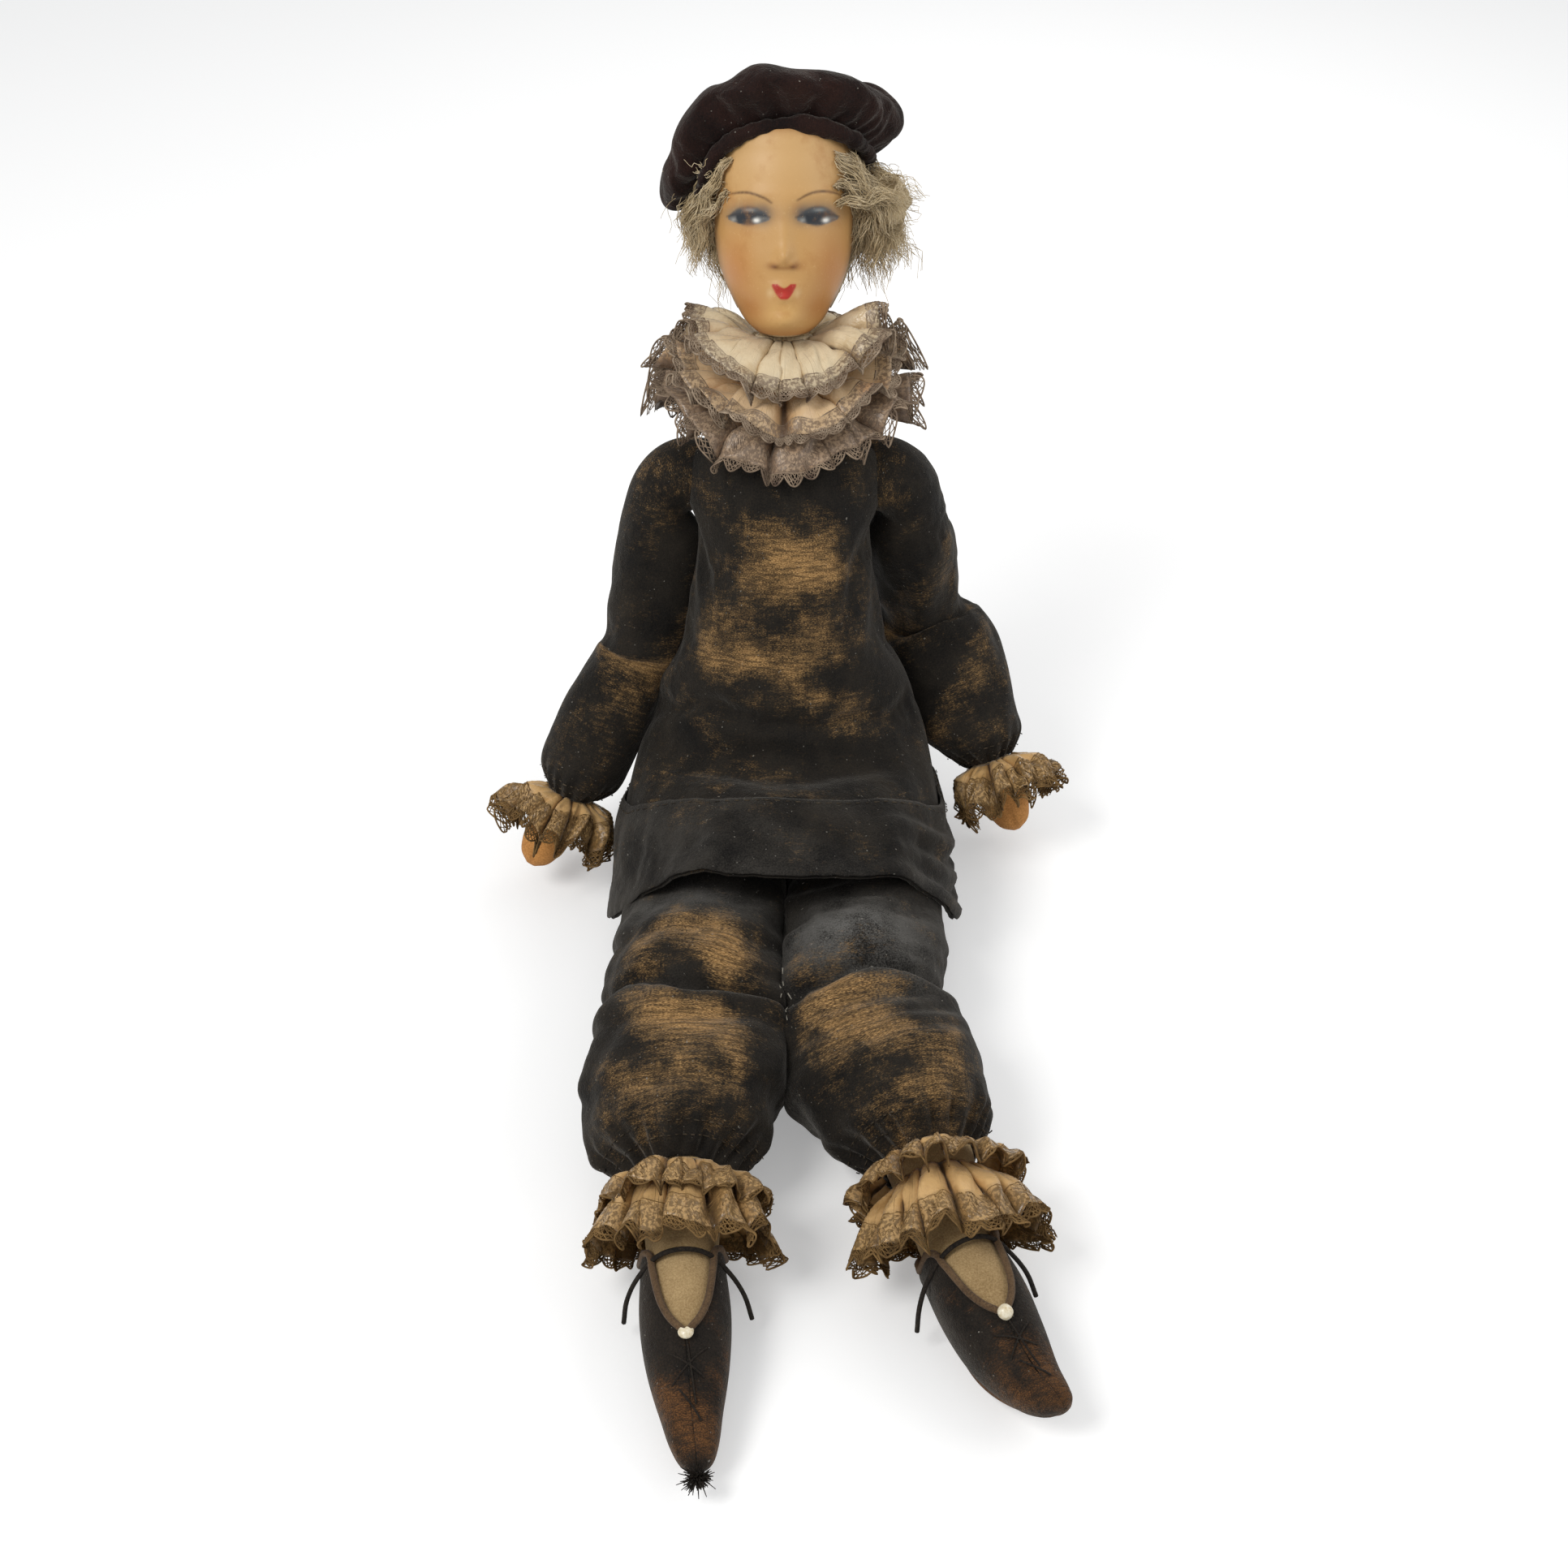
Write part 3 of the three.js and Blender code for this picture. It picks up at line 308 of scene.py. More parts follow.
PLACES = {}
for name, side in SIDES.items():
    turns = ARM_TURNS[name]
    upper = arm_place(side, BODY((side * SHOULDER_OUT, 0, SHOULDER_UP)), *turns["upper"])
    lower = arm_place(side, upper((0, 0, -UPPER_ARM)), *turns["lower"])
    hand = arm_place(side, lower((0, 0, -FOREARM)), *turns["hand"])
    thigh = leg_place((side * HIP_OUT, HIP_FORWARD, HIP_UP), LEG_TURNS[name]["thigh"], 0)
    shin = leg_place(thigh((0, 0, -THIGH)), LEG_TURNS[name]["shin"], SHIN_DOWN)
    foot = leg_place(shin((0, 0, -SHIN)), *LEG_TURNS[name]["foot"])
    PLACES[name] = {"upper": upper, "lower": lower, "hand": hand, "thigh": thigh, "shin": shin, "foot": foot}
print("left foot at", PLACES["left"]["foot"].origin.round(2))

# %% [markdown]
# ## Shape helpers
# Most pieces are lofts: rings of points joined row by row. A table gives a few stations along a limb, and
# a smooth curve runs through them, so the form swells and narrows without corners. The mesh gets its UV
# map at the same time, in metres round and along the cloth, which is what a weave needs.

# %% Tables, grids and meshes
def smooth_table(rows, at):
    """The columns of a table at any value of its first column, on a smooth curve through the rows."""
    rows = np.array(rows, float)
    at = np.clip(np.asarray(at, float), rows[0, 0], rows[-1, 0])
    slope = np.gradient(rows, rows[:, 0], axis=0)
    i = np.clip(np.searchsorted(rows[:, 0], at, "right") - 1, 0, len(rows) - 2)
    step = rows[i + 1, 0] - rows[i, 0]
    s = ((at - rows[i, 0]) / step)[:, None]
    step = step[:, None]
    start = (1 + 2 * s) * (1 - s) ** 2 * rows[i] + s * (1 - s) ** 2 * step * slope[i]
    end = s * s * (3 - 2 * s) * rows[i + 1] + s * s * (s - 1) * step * slope[i + 1]
    return (start + end)[:, 1:]


def rise(value, low, high):
    """0 below low, 1 above high, and smooth between them."""
    s = np.clip((value - low) / (high - low), 0, 1)
    return s * s * (3 - 2 * s)


def ripple(seed, *values):
    """A smooth irregular wave between about -1 and 1, from a few sines with fixed phases."""
    draw = np.random.default_rng(seed)
    total = 0
    for octave in (1.0, 1.9, 3.1):
        angle = draw.uniform(0, 2 * math.pi)
        for value in values:
            angle = angle + octave * draw.uniform(0.7, 1.3) * value
        total = total + np.sin(angle) / octave
    return total / 1.5


def grid(rows, columns, closed=True):
    """Faces of a grid of points, and the (row, column) of each face corner for its UV map."""
    last = columns if closed else columns - 1
    row, column = np.meshgrid(np.arange(rows - 1), np.arange(last), indexing="ij")
    row = row.ravel()
    column = column.ravel()
    corner_row = np.stack([row, row, row + 1, row + 1], 1)
    corner_column = np.stack([column, column + 1, column + 1, column], 1)
    faces = corner_row * columns + corner_column % columns
    return faces, np.stack([corner_row, corner_column], 2).reshape(-1, 2)


def add_mesh(name, points, faces, finish, uv=None, marks=None, ends=0):
    """A piece at the origin from points in millimetres. marks are values stored on its points.

    With ends, the first and the last that many points are closed with a face each.
    """
    mesh = bpy.data.meshes.new(name)
    faces = [tuple(int(i) for i in face) for face in faces]
    if ends:
        faces.append(tuple(range(ends)))
        faces.append(tuple(range(len(points) - 1, len(points) - ends - 1, -1)))
    mesh.from_pydata((np.asarray(points) * MM).tolist(), [], faces)
    if uv is not None:
        layer = mesh.uv_layers.new(name="cloth")
        full = np.zeros((len(mesh.loops), 2))
        full[: len(uv)] = uv
        layer.data.foreach_set("uv", full.ravel())
    for key, values in (marks or {}).items():
        values = np.asarray(values, float)
        kind = "FLOAT" if values.ndim == 1 else "FLOAT_COLOR"
        field = "value" if values.ndim == 1 else "color"
        made = mesh.attributes.new(key, kind, "POINT")
        made.data.foreach_set(field, values.ravel())
    turn_outwards(mesh)
    mesh.shade_smooth()
    mesh.materials.append(finish.material)
    piece = bpy.data.objects.new(name, mesh)
    scene.collection.objects.link(piece)
    return piece


def turn_outwards(mesh):
    """Makes all faces of a mesh look outwards."""
    work = bmesh.new()
    work.from_mesh(mesh)
    bmesh.ops.recalc_face_normals(work, faces=work.faces)
    work.to_mesh(mesh)
    work.free()


def cloth_uv(points, rows, columns, corners):
    """UV in metres: round the piece by its middle girth, along it by the mean step between rows."""
    shaped = np.asarray(points).reshape(rows, columns, 3)
    step = np.linalg.norm(np.diff(shaped, axis=0), axis=2).mean(1)
    along = np.concatenate([[0], np.cumsum(step)])
    girth = np.linalg.norm(shaped - np.roll(shaped, 1, axis=1), axis=2).sum(1).mean()
    return np.stack([corners[:, 1] / columns * girth, along[corners[:, 0]]], 1) * MM


def around(columns):
    """Equal turns once round, one for each column."""
    return np.arange(columns) / columns * 2 * math.pi


def oval_ring(turn, height, width, front, back, power=2.0):
    """A level ring of points, from its half width and its separate front (-Y) and back depths."""
    c = np.cos(turn)
    s = np.sin(turn)
    share = 2 / power
    x = width * np.sign(c) * np.abs(c) ** share
    y = np.where(s < 0, front, back) * np.sign(s) * np.abs(s) ** share
    return np.stack([x, y, np.full(len(turn), height)], 1)


VELVET_THICK = 1.5
THIN_VELVET = 1.4


def finish_piece(piece, thickness, levels=0, outward=-1):
    """Gives a surface its thickness, and smooths it."""
    wall = piece.modifiers.new("thickness", "SOLIDIFY")
    wall.thickness = thickness * MM
    wall.offset = outward
    if levels:
        smooth = piece.modifiers.new("smooth", "SUBSURF")
        smooth.levels = levels
        smooth.render_levels = levels


def settle(piece):
    """Applies a piece's modifiers, so that only a plain mesh is left."""
    view = bpy.context.evaluated_depsgraph_get()
    made = bpy.data.meshes.new_from_object(piece.evaluated_get(view), depsgraph=view)
    old = piece.data
    piece.modifiers.clear()
    piece.data = made
    made.name = old.name
    bpy.data.meshes.remove(old)


def declare(piece, slot, body, *nodes, fill=0):
    """Hides the parts that a piece stands for and ties it to the body that it rides on. slot, what it is made
    of, and fill, how full it is, are not used.
    """
    if nodes:
        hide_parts(*nodes)
    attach(piece, body)


print("helpers ready")

# %% [markdown]
# ## Shoe ties
# Each slipper is laced to the ankle with one thin black cord. It comes up from the side of the shoe,
# crosses the instep and goes down the other side. Cords are placed first, because their route belongs to
# the frame: a smooth curve through the same points, with a round bevel for its thickness.

# %% Tie cords
TIE_RADIUS = 1.1
TIE_ROUTE = [
    (-27, 21, 17), (-25, 8, 15), (-20, -3, 12), (-11, -15, 10), (0, -19.5, 10),
    (11, -15, 10), (20, -3, 12), (26, 8, 16), (29, 20, 20),
]
TIE_STEPS = 4

cord_black = Finish("black_cord", 0.75, 0.25)
cord_black.colour(cord_black.ramp(cord_black.noise(900, 3), (0.3, (20, 17, 14)), (0.75, (62, 52, 42))))
cord_black.bump(cord_black.wave(900, 0.5), 0.0003)


def catmull(points, steps):
    """Points on a smooth curve through the given ones."""
    points = np.array(points, float)
    padded = np.vstack([2 * points[0] - points[1], points, 2 * points[-1] - points[-2]])
    made = []
    for a, b, c, d in zip(padded, padded[1:], padded[2:], padded[3:]):
        for s in np.arange(steps) / steps:
            made.append(0.5 * (2 * b + (c - a) * s + (2 * a - 5 * b + 4 * c - d) * s * s
                               + (3 * b - a - 3 * c + d) * s ** 3))
    made.append(points[-1])
    return np.array(made)


def add_cord(name, points, radius, finish):
    """A round cord along points in millimetres."""
    curve = bpy.data.curves.new(name, "CURVE")
    curve.dimensions = "3D"
    spline = curve.splines.new("POLY")
    spline.points.add(len(points) - 1)
    for target, place in zip(spline.points, np.asarray(points) * MM):
        target.co = (*place, 1)
    curve.bevel_depth = radius * MM
    curve.bevel_resolution = 2
    curve.use_fill_caps = True
    curve.materials.append(finish.material)
    piece = bpy.data.objects.new(name, curve)
    scene.collection.objects.link(piece)
    return piece


def length_of(points):
    return float(np.linalg.norm(np.diff(points, axis=0), axis=1).sum())


for name in SIDES:
    route = PLACES[name]["foot"]([(x, y, -along) for x, y, along in catmull(TIE_ROUTE, TIE_STEPS)])
    tie = add_cord(f"{name}_tie_cord", route, TIE_RADIUS, cord_black)
    declare(tie, "black_cord", f"{name}_lower_leg", f"{name}_shoe_tie")
    print(name, "tie", round(length_of(route), 1), "mm")

# %% [markdown]
# ## Worn black velvet
# The suit is cotton velvet, nearly black, with a dusty sheen where the pile leans. On the chest, the lap
# and the knees the pile has rubbed away and the tan ground cloth shows through in rows along the weave.
# A "wear" value on the points says how far the cloth is rubbed, and two noises stretched along the weave
# break its edge into streaks. Sheen is set on the shader itself, since it is the same all over. A second
# value lays a dusty grey over the pile: partly dirt, and on the lap partly a painted sheen of the light from
# above.

# %% Velvet
# dusty grey laid over the pile: partly dirt, partly a painted sheen where the lap faces the light
DUST_AND_SHEEN_GREY = (104, 102, 98)
LINT = (168, 162, 150)


def velvet(name, deep, dusty, bare, bare_dark, sheen=0.22, crushed=0.5):
    """Velvet from the pile's two tones and the two tones of the cloth under it."""
    cloth = Finish(name, 0.85, 0.2, Sheen_Weight=sheen, Sheen_Roughness=0.35,
                   Sheen_Tint=(0.75, 0.70, 0.62, 1))
    pile = cloth.noise(1400, 3)
    clouds = cloth.noise(45, 4)
    shade = cloth.weigh(pile, 0.5, clouds, 0.5)
    nap = cloth.ramp(shade, (0.38, deep), (0.68, dusty))
    # painted sheen with some dirt: the dusty grey goes where the points' value asks for it
    dust_and_sheen = cloth.times(cloth.attribute("dust_and_sheen"), cloth.band(shade, 0.36, 0.62))
    nap = cloth.mix(dust_and_sheen, nap, DUST_AND_SHEEN_GREY)
    threads = cloth.weave(2, 900, 2600)
    patches = cloth.noise(70, 4)
    crossed = cloth.weigh(cloth.weave(3, 140, 520), 0.65, cloth.weave(3, 480, 130), 0.35)
    streaks = cloth.maths("ADD", cloth.maths("ADD", crossed, cloth.times(patches, 1.2)), threads)
    worn = cloth.maths("ADD", cloth.attribute("wear"), cloth.maths("SUBTRACT", streaks, 1.6))
    rows_left = cloth.times(cloth.band(cloth.weave(2, 90, 600), 0.42, 0.64), 0.6)
    share = cloth.times(cloth.band(worn, 0.3, 1.15), cloth.maths("SUBTRACT", 1.0, rows_left))
    ground = cloth.mix(cloth.band(threads, 0.36, 0.66), bare_dark, bare)
    lint = cloth.times(cloth.band(cloth.noise(620, 1), 0.74, 0.8), 0.5)
    cloth.colour(cloth.mix(lint, cloth.mix(share, nap, ground), LINT))
    height = cloth.maths("SUBTRACT", pile, cloth.times(share, 0.6))
    cloth.bump(height, 0.0007, 0.7)
    cloth.bump(cloth.noise(160, 3), 0.0016, crushed)
    return cloth


suit_velvet = velvet("suit_velvet", (13, 11, 9), (45, 39, 31), (192, 152, 98), (116, 84, 48))
cap_velvet = velvet("cap_velvet", (13, 5, 4), (48, 26, 19), (92, 60, 44), (52, 30, 22), crushed=1.0)
print("velvets mixed")

# %% [markdown]
# ## Letting cloth settle
# Stuffed velvet is never smooth: the cloth is a little larger than its filling, so it buckles into soft
# dents and creases between the seams. A short cloth simulation does this. The piece is copied at ten
# times its size, its seams are pinned, the cloth is made a few per cent too large and blown up slightly.
# Its movement is then limited, so that it stays clear of what it covers.

# %% Cloth settling
SIM_SCALE = 10.0
SIM_FRAMES = 14


def settle_cloth(points, faces, pins, spare, blow, out, dent, seed, bend=0.6):
    """Points of a pinned cloth after it has buckled. pins is 1 where the cloth is sewn down.

    spare is how much too large the cloth is, and blow the pressure inside it. out and dent limit how far it
    moves outwards and inwards.
    """
    points = np.asarray(points, float)
    jitter = np.random.default_rng(seed).normal(0, 0.12, points.shape) * (1 - pins[:, None])
    mesh = bpy.data.meshes.new("settling")
    mesh.from_pydata(((points + jitter) * MM * SIM_SCALE).tolist(), [], [tuple(map(int, f)) for f in faces])
    turn_outwards(mesh)
    holder = bpy.data.objects.new("settling", mesh)
    scene.collection.objects.link(holder)
    group = holder.vertex_groups.new(name="pins")
    for index in np.nonzero(pins > 0.01)[0]:
        group.add([int(index)], float(pins[index]), "REPLACE")
    cloth = holder.modifiers.new("cloth", "CLOTH")
    rules = cloth.settings
    rules.quality = 6
    rules.mass = 0.3
    rules.tension_stiffness = 12
    rules.compression_stiffness = 12
    rules.shear_stiffness = 5
    rules.bending_stiffness = bend
    rules.vertex_group_mass = "pins"
    rules.shrink_min = -spare
    rules.use_pressure = True
    rules.uniform_pressure_force = blow
    rules.effector_weights.gravity = 0
    cloth.collision_settings.use_collision = False
    cloth.point_cache.frame_start = 1
    cloth.point_cache.frame_end = SIM_FRAMES
    for number in range(1, SIM_FRAMES + 1):
        scene.frame_set(number)
    seen = holder.evaluated_get(bpy.context.evaluated_depsgraph_get())
    moved = np.empty(len(points) * 3)
    seen.data.vertices.foreach_get("co", moved)
    normals = np.empty(len(points) * 3)
    mesh.vertices.foreach_get("normal", normals)
    move = moved.reshape(-1, 3) / (MM * SIM_SCALE) - points
    normals = normals.reshape(-1, 3)
    lift = (move * normals).sum(1, keepdims=True)
    slide = move - lift * normals
    lift = np.where(lift > 0, out * np.tanh(lift / out), dent * np.tanh(lift / dent))
    reach = np.linalg.norm(slide, axis=1, keepdims=True)
    slide = slide * np.minimum(1, dent / np.maximum(reach, 1e-6))
    bpy.data.objects.remove(holder)
    bpy.data.meshes.remove(mesh)
    scene.frame_set(1)
    return points + lift * normals + slide


def loft(rings, step):
    """Rows of points on a smooth surface through a few rings, about step apart."""
    rings = np.array(rings, float)
    gaps = np.linalg.norm(np.diff(rings, axis=0), axis=2).mean(1)
    along = np.concatenate([[0], np.cumsum(gaps)])
    rows = int(round(along[-1] / step)) + 1
    at = np.linspace(0, along[-1], rows)
    flat = np.concatenate([along[:, None], rings.reshape(len(rings), -1)], 1)
    return smooth_table(flat, at).reshape(rows, rings.shape[1], 3), at


def normals_of(rows):
    """Outward directions of a grid of closed rings, from each point's neighbours."""
    across = np.roll(rows, -1, 1) - np.roll(rows, 1, 1)
    made = np.cross(np.gradient(rows, axis=0), across)
    made = made / np.maximum(np.linalg.norm(made, axis=2, keepdims=True), 1e-9)
    outward = rows - rows.mean(1, keepdims=True)
    return made * np.sign((made * outward).sum())


FLOOR_REST = 0.5  # cloth that lies on the floor stays this far above it


def on_floor(points):
    """Lifts what lies lower than the floor."""
    points = np.array(points, float)
    points[..., 2] = np.maximum(points[..., 2], FLOOR_REST)
    return points


def spots(x, z, *marks):
    """Soft round marks: each is a place, a half width, a half height and a strength."""
    total = 0
    for px, pz, width, height, strength in marks:
        total = total + strength * np.exp(-(((x - px) / width) ** 2) - ((z - pz) / height) ** 2)
    return total


print("cloth ready, simulation", "on")

# %% [markdown]
# ## Tunic
# The smock is cut in one tube: it hangs from the neck band, follows the chest and opens into a skirt that
# spreads over the lap. It could be sculpted, but its rule is simple: oval rings that grow and turn into a
# squarer hem. Soft folds widen towards the hem, creases cross the belly where the body bends, and the
# cloth settles over them.

# %% Tunic rings
TUNIC = [
    (NECK_BASE, 24, 24, 24), (190, 48.5, 34, 32), (150, 47.5, 42, 36), (125, 49.5, 45, 38),
    (98, 54, 47, 41), (66, 64, 50, 46), (34, 74, 56, 52),
]
HEM = (87, 122, 66)
HEM_HEIGHT = {"side": -32, "front": 2, "back": -14}
HEM_POWER = 3.0
HEM_DROP = 6
CORNER_DROP = 21  # how far the hem hangs down in front of each hip
CORNER_OUT = 7
CORNER_TURN = math.radians(64)  # from the front
CORNER_WIDE = 0.42
TUNIC_COLUMNS = 176
TUNIC_STEP = 3.5
turn = around(TUNIC_COLUMNS)


def hem_ring(share):
    """A ring on the way to the hem, which is squarer and hangs down at its two front corners."""
    start = TUNIC[-1]
    sizes = [a + (b - a) * share for a, b in zip(start[1:], HEM)]
    x, y, _ = oval_ring(turn, 0, *sizes, 2 + (HEM_POWER - 2) * share).T
    end = np.where(y < 0, HEM_HEIGHT["front"], HEM_HEIGHT["back"])
    low = end + (HEM_HEIGHT["side"] - end) * (x / sizes[0]) ** HEM_DROP
    from_front = np.abs((turn + math.pi / 2 + math.pi) % (2 * math.pi) - math.pi)
    corner = np.exp(-(((from_front - CORNER_TURN) / CORNER_WIDE) ** 2))
    low = low - CORNER_DROP * corner
    x = x + np.sign(x) * CORNER_OUT * corner * share
    return np.stack([x, y, start[0] + (low - start[0]) * share], 1)


HEM_RINGS = (0.35, 0.6, 0.8, 1.0)
tunic_rings = [oval_ring(turn, *sizes) for sizes in TUNIC] + [hem_ring(share) for share in HEM_RINGS]
tunic_rows, tunic_along = loft(tunic_rings, TUNIC_STEP)
tunic_rows_count = len(tunic_rows)
skirt = rise(tunic_along, tunic_along[-1] * 0.42, tunic_along[-1])[:, None]
out = normals_of(tunic_rows)
front_side = rise(-tunic_rows[..., 1], 5, 35)
belly = np.exp(-((tunic_rows[..., 2] - 62 + 6 * ripple(3, turn * 3)[None]) / 5.0) ** 2)
folds = 2.4 * skirt * ripple(11, 6 * turn[None], 0.02 * tunic_along[:, None])
folds = folds + 0.5 * skirt * np.sin(23 * turn[None] + 2 * ripple(4, 3 * turn)[None])
folds = folds - 3.4 * belly * front_side
gathers = 1.0 * rise(-tunic_along, -24, -4)[:, None] * np.cos(30 * turn[None])
tunic_rows = tunic_rows + out * (folds + gathers)[..., None]
faces, corners = grid(tunic_rows_count, TUNIC_COLUMNS)
held = 1 - rise(tunic_along, 4, 20)
held = np.maximum(held, 0.85 * rise(tunic_along, tunic_along[-1] - 30, tunic_along[-1] - 4))
pins = np.repeat(held, TUNIC_COLUMNS)
local = tunic_rows.reshape(-1, 3)
tunic_points = settle_cloth(BODY(local), faces, pins, spare=0.055, blow=0.25, out=4.5, dent=3.0, seed=5)
tunic_points = on_floor(tunic_points)
print("tunic", tunic_points.shape[0], "points")

# %% Tunic piece
CHEST_WEAR = [  # place across and up the chest, half sizes and strength
    (8, 142, 27, 20, 0.7), (20, 136, 12, 6, 0.35), (-14, 128, 20, 22, 0.35), (-10, 92, 34, 9, 0.6),
    (20, 104, 20, 10, 0.5), (6, 74, 28, 7, 0.35), (-36, 96, 10, 16, 0.5), (30, 60, 20, 12, 0.25),
    (-40, 30, 26, 12, 0.25), (24, 16, 40, 6, 0.35),
]
chest = rise(-local[:, 1], 12, 30)
wear = chest * spots(local[:, 0], local[:, 2], *CHEST_WEAR)
wear = wear + 0.16 + 0.12 * ripple(21, local[:, 0] / 14, local[:, 2] / 11)
uv = cloth_uv(tunic_points, tunic_rows_count, TUNIC_COLUMNS, corners)
tunic = add_mesh("velvet_tunic", tunic_points, faces, suit_velvet, uv, {"wear": wear})
finish_piece(tunic, VELVET_THICK, 1)
declare(tunic, "black_velvet", "torso", "tunic", fill=0.5)

# %% [markdown]
# The deep hem band is a second strip of velvet sewn round the outside of the skirt. It is made from the
# settled skirt itself, lifted off by its own thickness, so that it follows every fold under it.

# %% Hem band
BAND_FROM = 0.5  # share of the way from the lap crease to the hem
SKIRT_RUN = 92
SQUEEZE_AT = math.radians(-28)  # one side is pressed into folds, like an accordion
SQUEEZE_FOLDS = 3.5
EVEN_OUT = 5  # columns to each side that share one outward direction
SEAMS = {}  # name of each sewn line: bodies, lines, spacing and thread, laid later
band_start = int(np.searchsorted(tunic_along, tunic_along[-1] - (1 - BAND_FROM) * SKIRT_RUN))
band_rows = tunic_points.reshape(tunic_rows_count, TUNIC_COLUMNS, 3)[band_start:]
band_out = normals_of(band_rows)
band_out = sum(np.roll(band_out, shift, 1) for shift in range(-EVEN_OUT, EVEN_OUT + 1))
band_out = band_out / np.linalg.norm(band_out, axis=2, keepdims=True)
share = np.linspace(0, 1, len(band_rows))
swell = 0.7 + 1.8 * np.sin(math.pi * np.clip(share * 1.02, 0, 1)) ** 0.6
ridge_share = rise(share, 0.0, 0.25) * (1 - rise(share, 0.6, 1))
ridge = 0.35 * ripple(31, 26 * turn)[None] * ridge_share[:, None]
squeezed = np.exp(-((turn - SQUEEZE_AT + math.pi) % (2 * math.pi) - math.pi) ** 2 / 0.16)[None]
accordion = 4.2 * squeezed * (np.sin(2 * math.pi * SQUEEZE_FOLDS * share) * rise(share, 0, 0.2))[:, None]
band_points = on_floor(band_rows + band_out * (swell[:, None] + ridge + accordion)[..., None])
flat = band_points.reshape(-1, 3)
faces, corners = grid(len(band_rows), TUNIC_COLUMNS)
across, deep, high = local.reshape(tunic_rows_count, TUNIC_COLUMNS, 3)[band_start:].reshape(-1, 3).T
wear = 0.12 + 0.16 * ripple(33, across / 20, deep / 16)
dust_and_sheen = 0.1 + 0.12 * ripple(35, across / 26, high / 9)
uv = cloth_uv(flat, len(band_rows), TUNIC_COLUMNS, corners)
band = add_mesh("velvet_hem_band", flat, faces, suit_velvet, uv, {"wear": wear, "dust_and_sheen": dust_and_sheen})
finish_piece(band, THIN_VELVET, 1, 1)
declare(band, "black_velvet", "torso", "tunic_hem_band", fill=0.4)
SEAMS["hem_band_stitches"] = (["torso"], [(band_points[1] + 1.6 * band_out[1], True)], 5.2, "dark", None)
print("hem band", len(band_rows), "rows")

# %% [markdown]
# ## Sleeves
# A sleeve is one tube of velvet from the armhole to the wrist. It starts inside the tunic, round the axis
# that the arm turns on, swings over the shoulder about the armpit, and follows the arm. At the elbow the
# two halves of the arm meet at an angle, and the tube is blended between them, as cloth does.

# %% Sleeve form
ARMPIT = np.array([-17.0, 0, -18.0])
SLEEVE_HEAD = 19.5
SLEEVE_SLOPE = 3.0  # how much narrower the sleeve is at the armpit than at the seam
ELBOW_STEP = {"left": 6.5, "right": 1.0}  # the forearm's cloth stands out below the elbow's crease
# A station is along the arm, half width outside and inside, front and back.
UPPER_SLEEVE = [
    (30, 16.8, 24, 21.5, 21), (52, 17.2, 27, 21.5, 21.5), (76, 17, 28, 21.5, 21.5), (97, 16, 26.5, 20.5, 20),
]
LOWER_SLEEVE = [
    (6, 16.5, 25.5, 20.5, 20), (22, 19, 25, 21.4, 21.2), (42, 21.5, 24.5, 22.5, 22.5),
    (64, 22.5, 23.5, 23, 23), (77, 21.5, 21.5, 21.5, 21.5), (84, 16.5, 16.5, 16.5, 16.5),
    (88, 12.4, 12.4, 12.4, 12.4),
]
INSIDE_MORE = {"left": 3.0, "right": 3.8}  # cloth that fills the space beside the tunic
FOREARM_MORE = {"left": 7.0, "right": 0.0}
SLEEVE_COLUMNS = 72
SLEEVE_STEP = 3.0
BELOW_ELBOW = 91
ELBOW_BLEND = 20  # a distance to each side of the elbow; the points there are worked out but not used
sleeve_turn = around(SLEEVE_COLUMNS)


def sleeve_rings(name):
    """Control rings of a sleeve in the doll's frame, from the armhole to the wrist."""
    side = SIDES[name]
    places = PLACES[name]
    armpit = ARMPIT * (side, 1, 1)
    rings = []
    c = np.cos(sleeve_turn)[:, None]
    s = np.sin(sleeve_turn)[:, None]
    swing = np.radians([0, 15, 30, 45, 60, 75, 90])
    for angle in swing:
        radial = np.array([side * math.sin(angle), 0, math.cos(angle)])
        half = SLEEVE_HEAD - SLEEVE_SLOPE * math.sin(angle) ** 2
        wide = 20.0 + 1.4 * math.sin(angle)
        # The first ring point is the inner one, next to the armpit; later ones go round the arm.
        ring = armpit + radial * (half - half * c) + np.array([0, 1, 0]) * (side * wide * s)
        rings.append(places["upper"](ring))
    inner = rings[0] - np.array([side * 9.0, 0, 0])
    rings.insert(0, inner + 0.1 * (rings[0].mean(0) - inner) * (0, 1, 1))
    for stations, place in ((UPPER_SLEEVE, places["upper"]), (LOWER_SLEEVE, places["lower"])):
        for along, outside, inside, front, back in stations:
            if place is places["upper"]:
                inside = inside + INSIDE_MORE[name]
            else:
                outside = outside + ELBOW_STEP[name] * (1 - rise(np.array(along), 20, 60))
                inside = inside + FOREARM_MORE[name] * (1 - rise(np.array(along), 58, 84))
            deep = np.where(s * side < 0, front, back)
            width = np.where(c > 0, inside, outside)
            ring = np.concatenate([-side * width * c, side * deep * s, np.full_like(c, -along)], 1)
            rings.append(place(ring))
    return rings


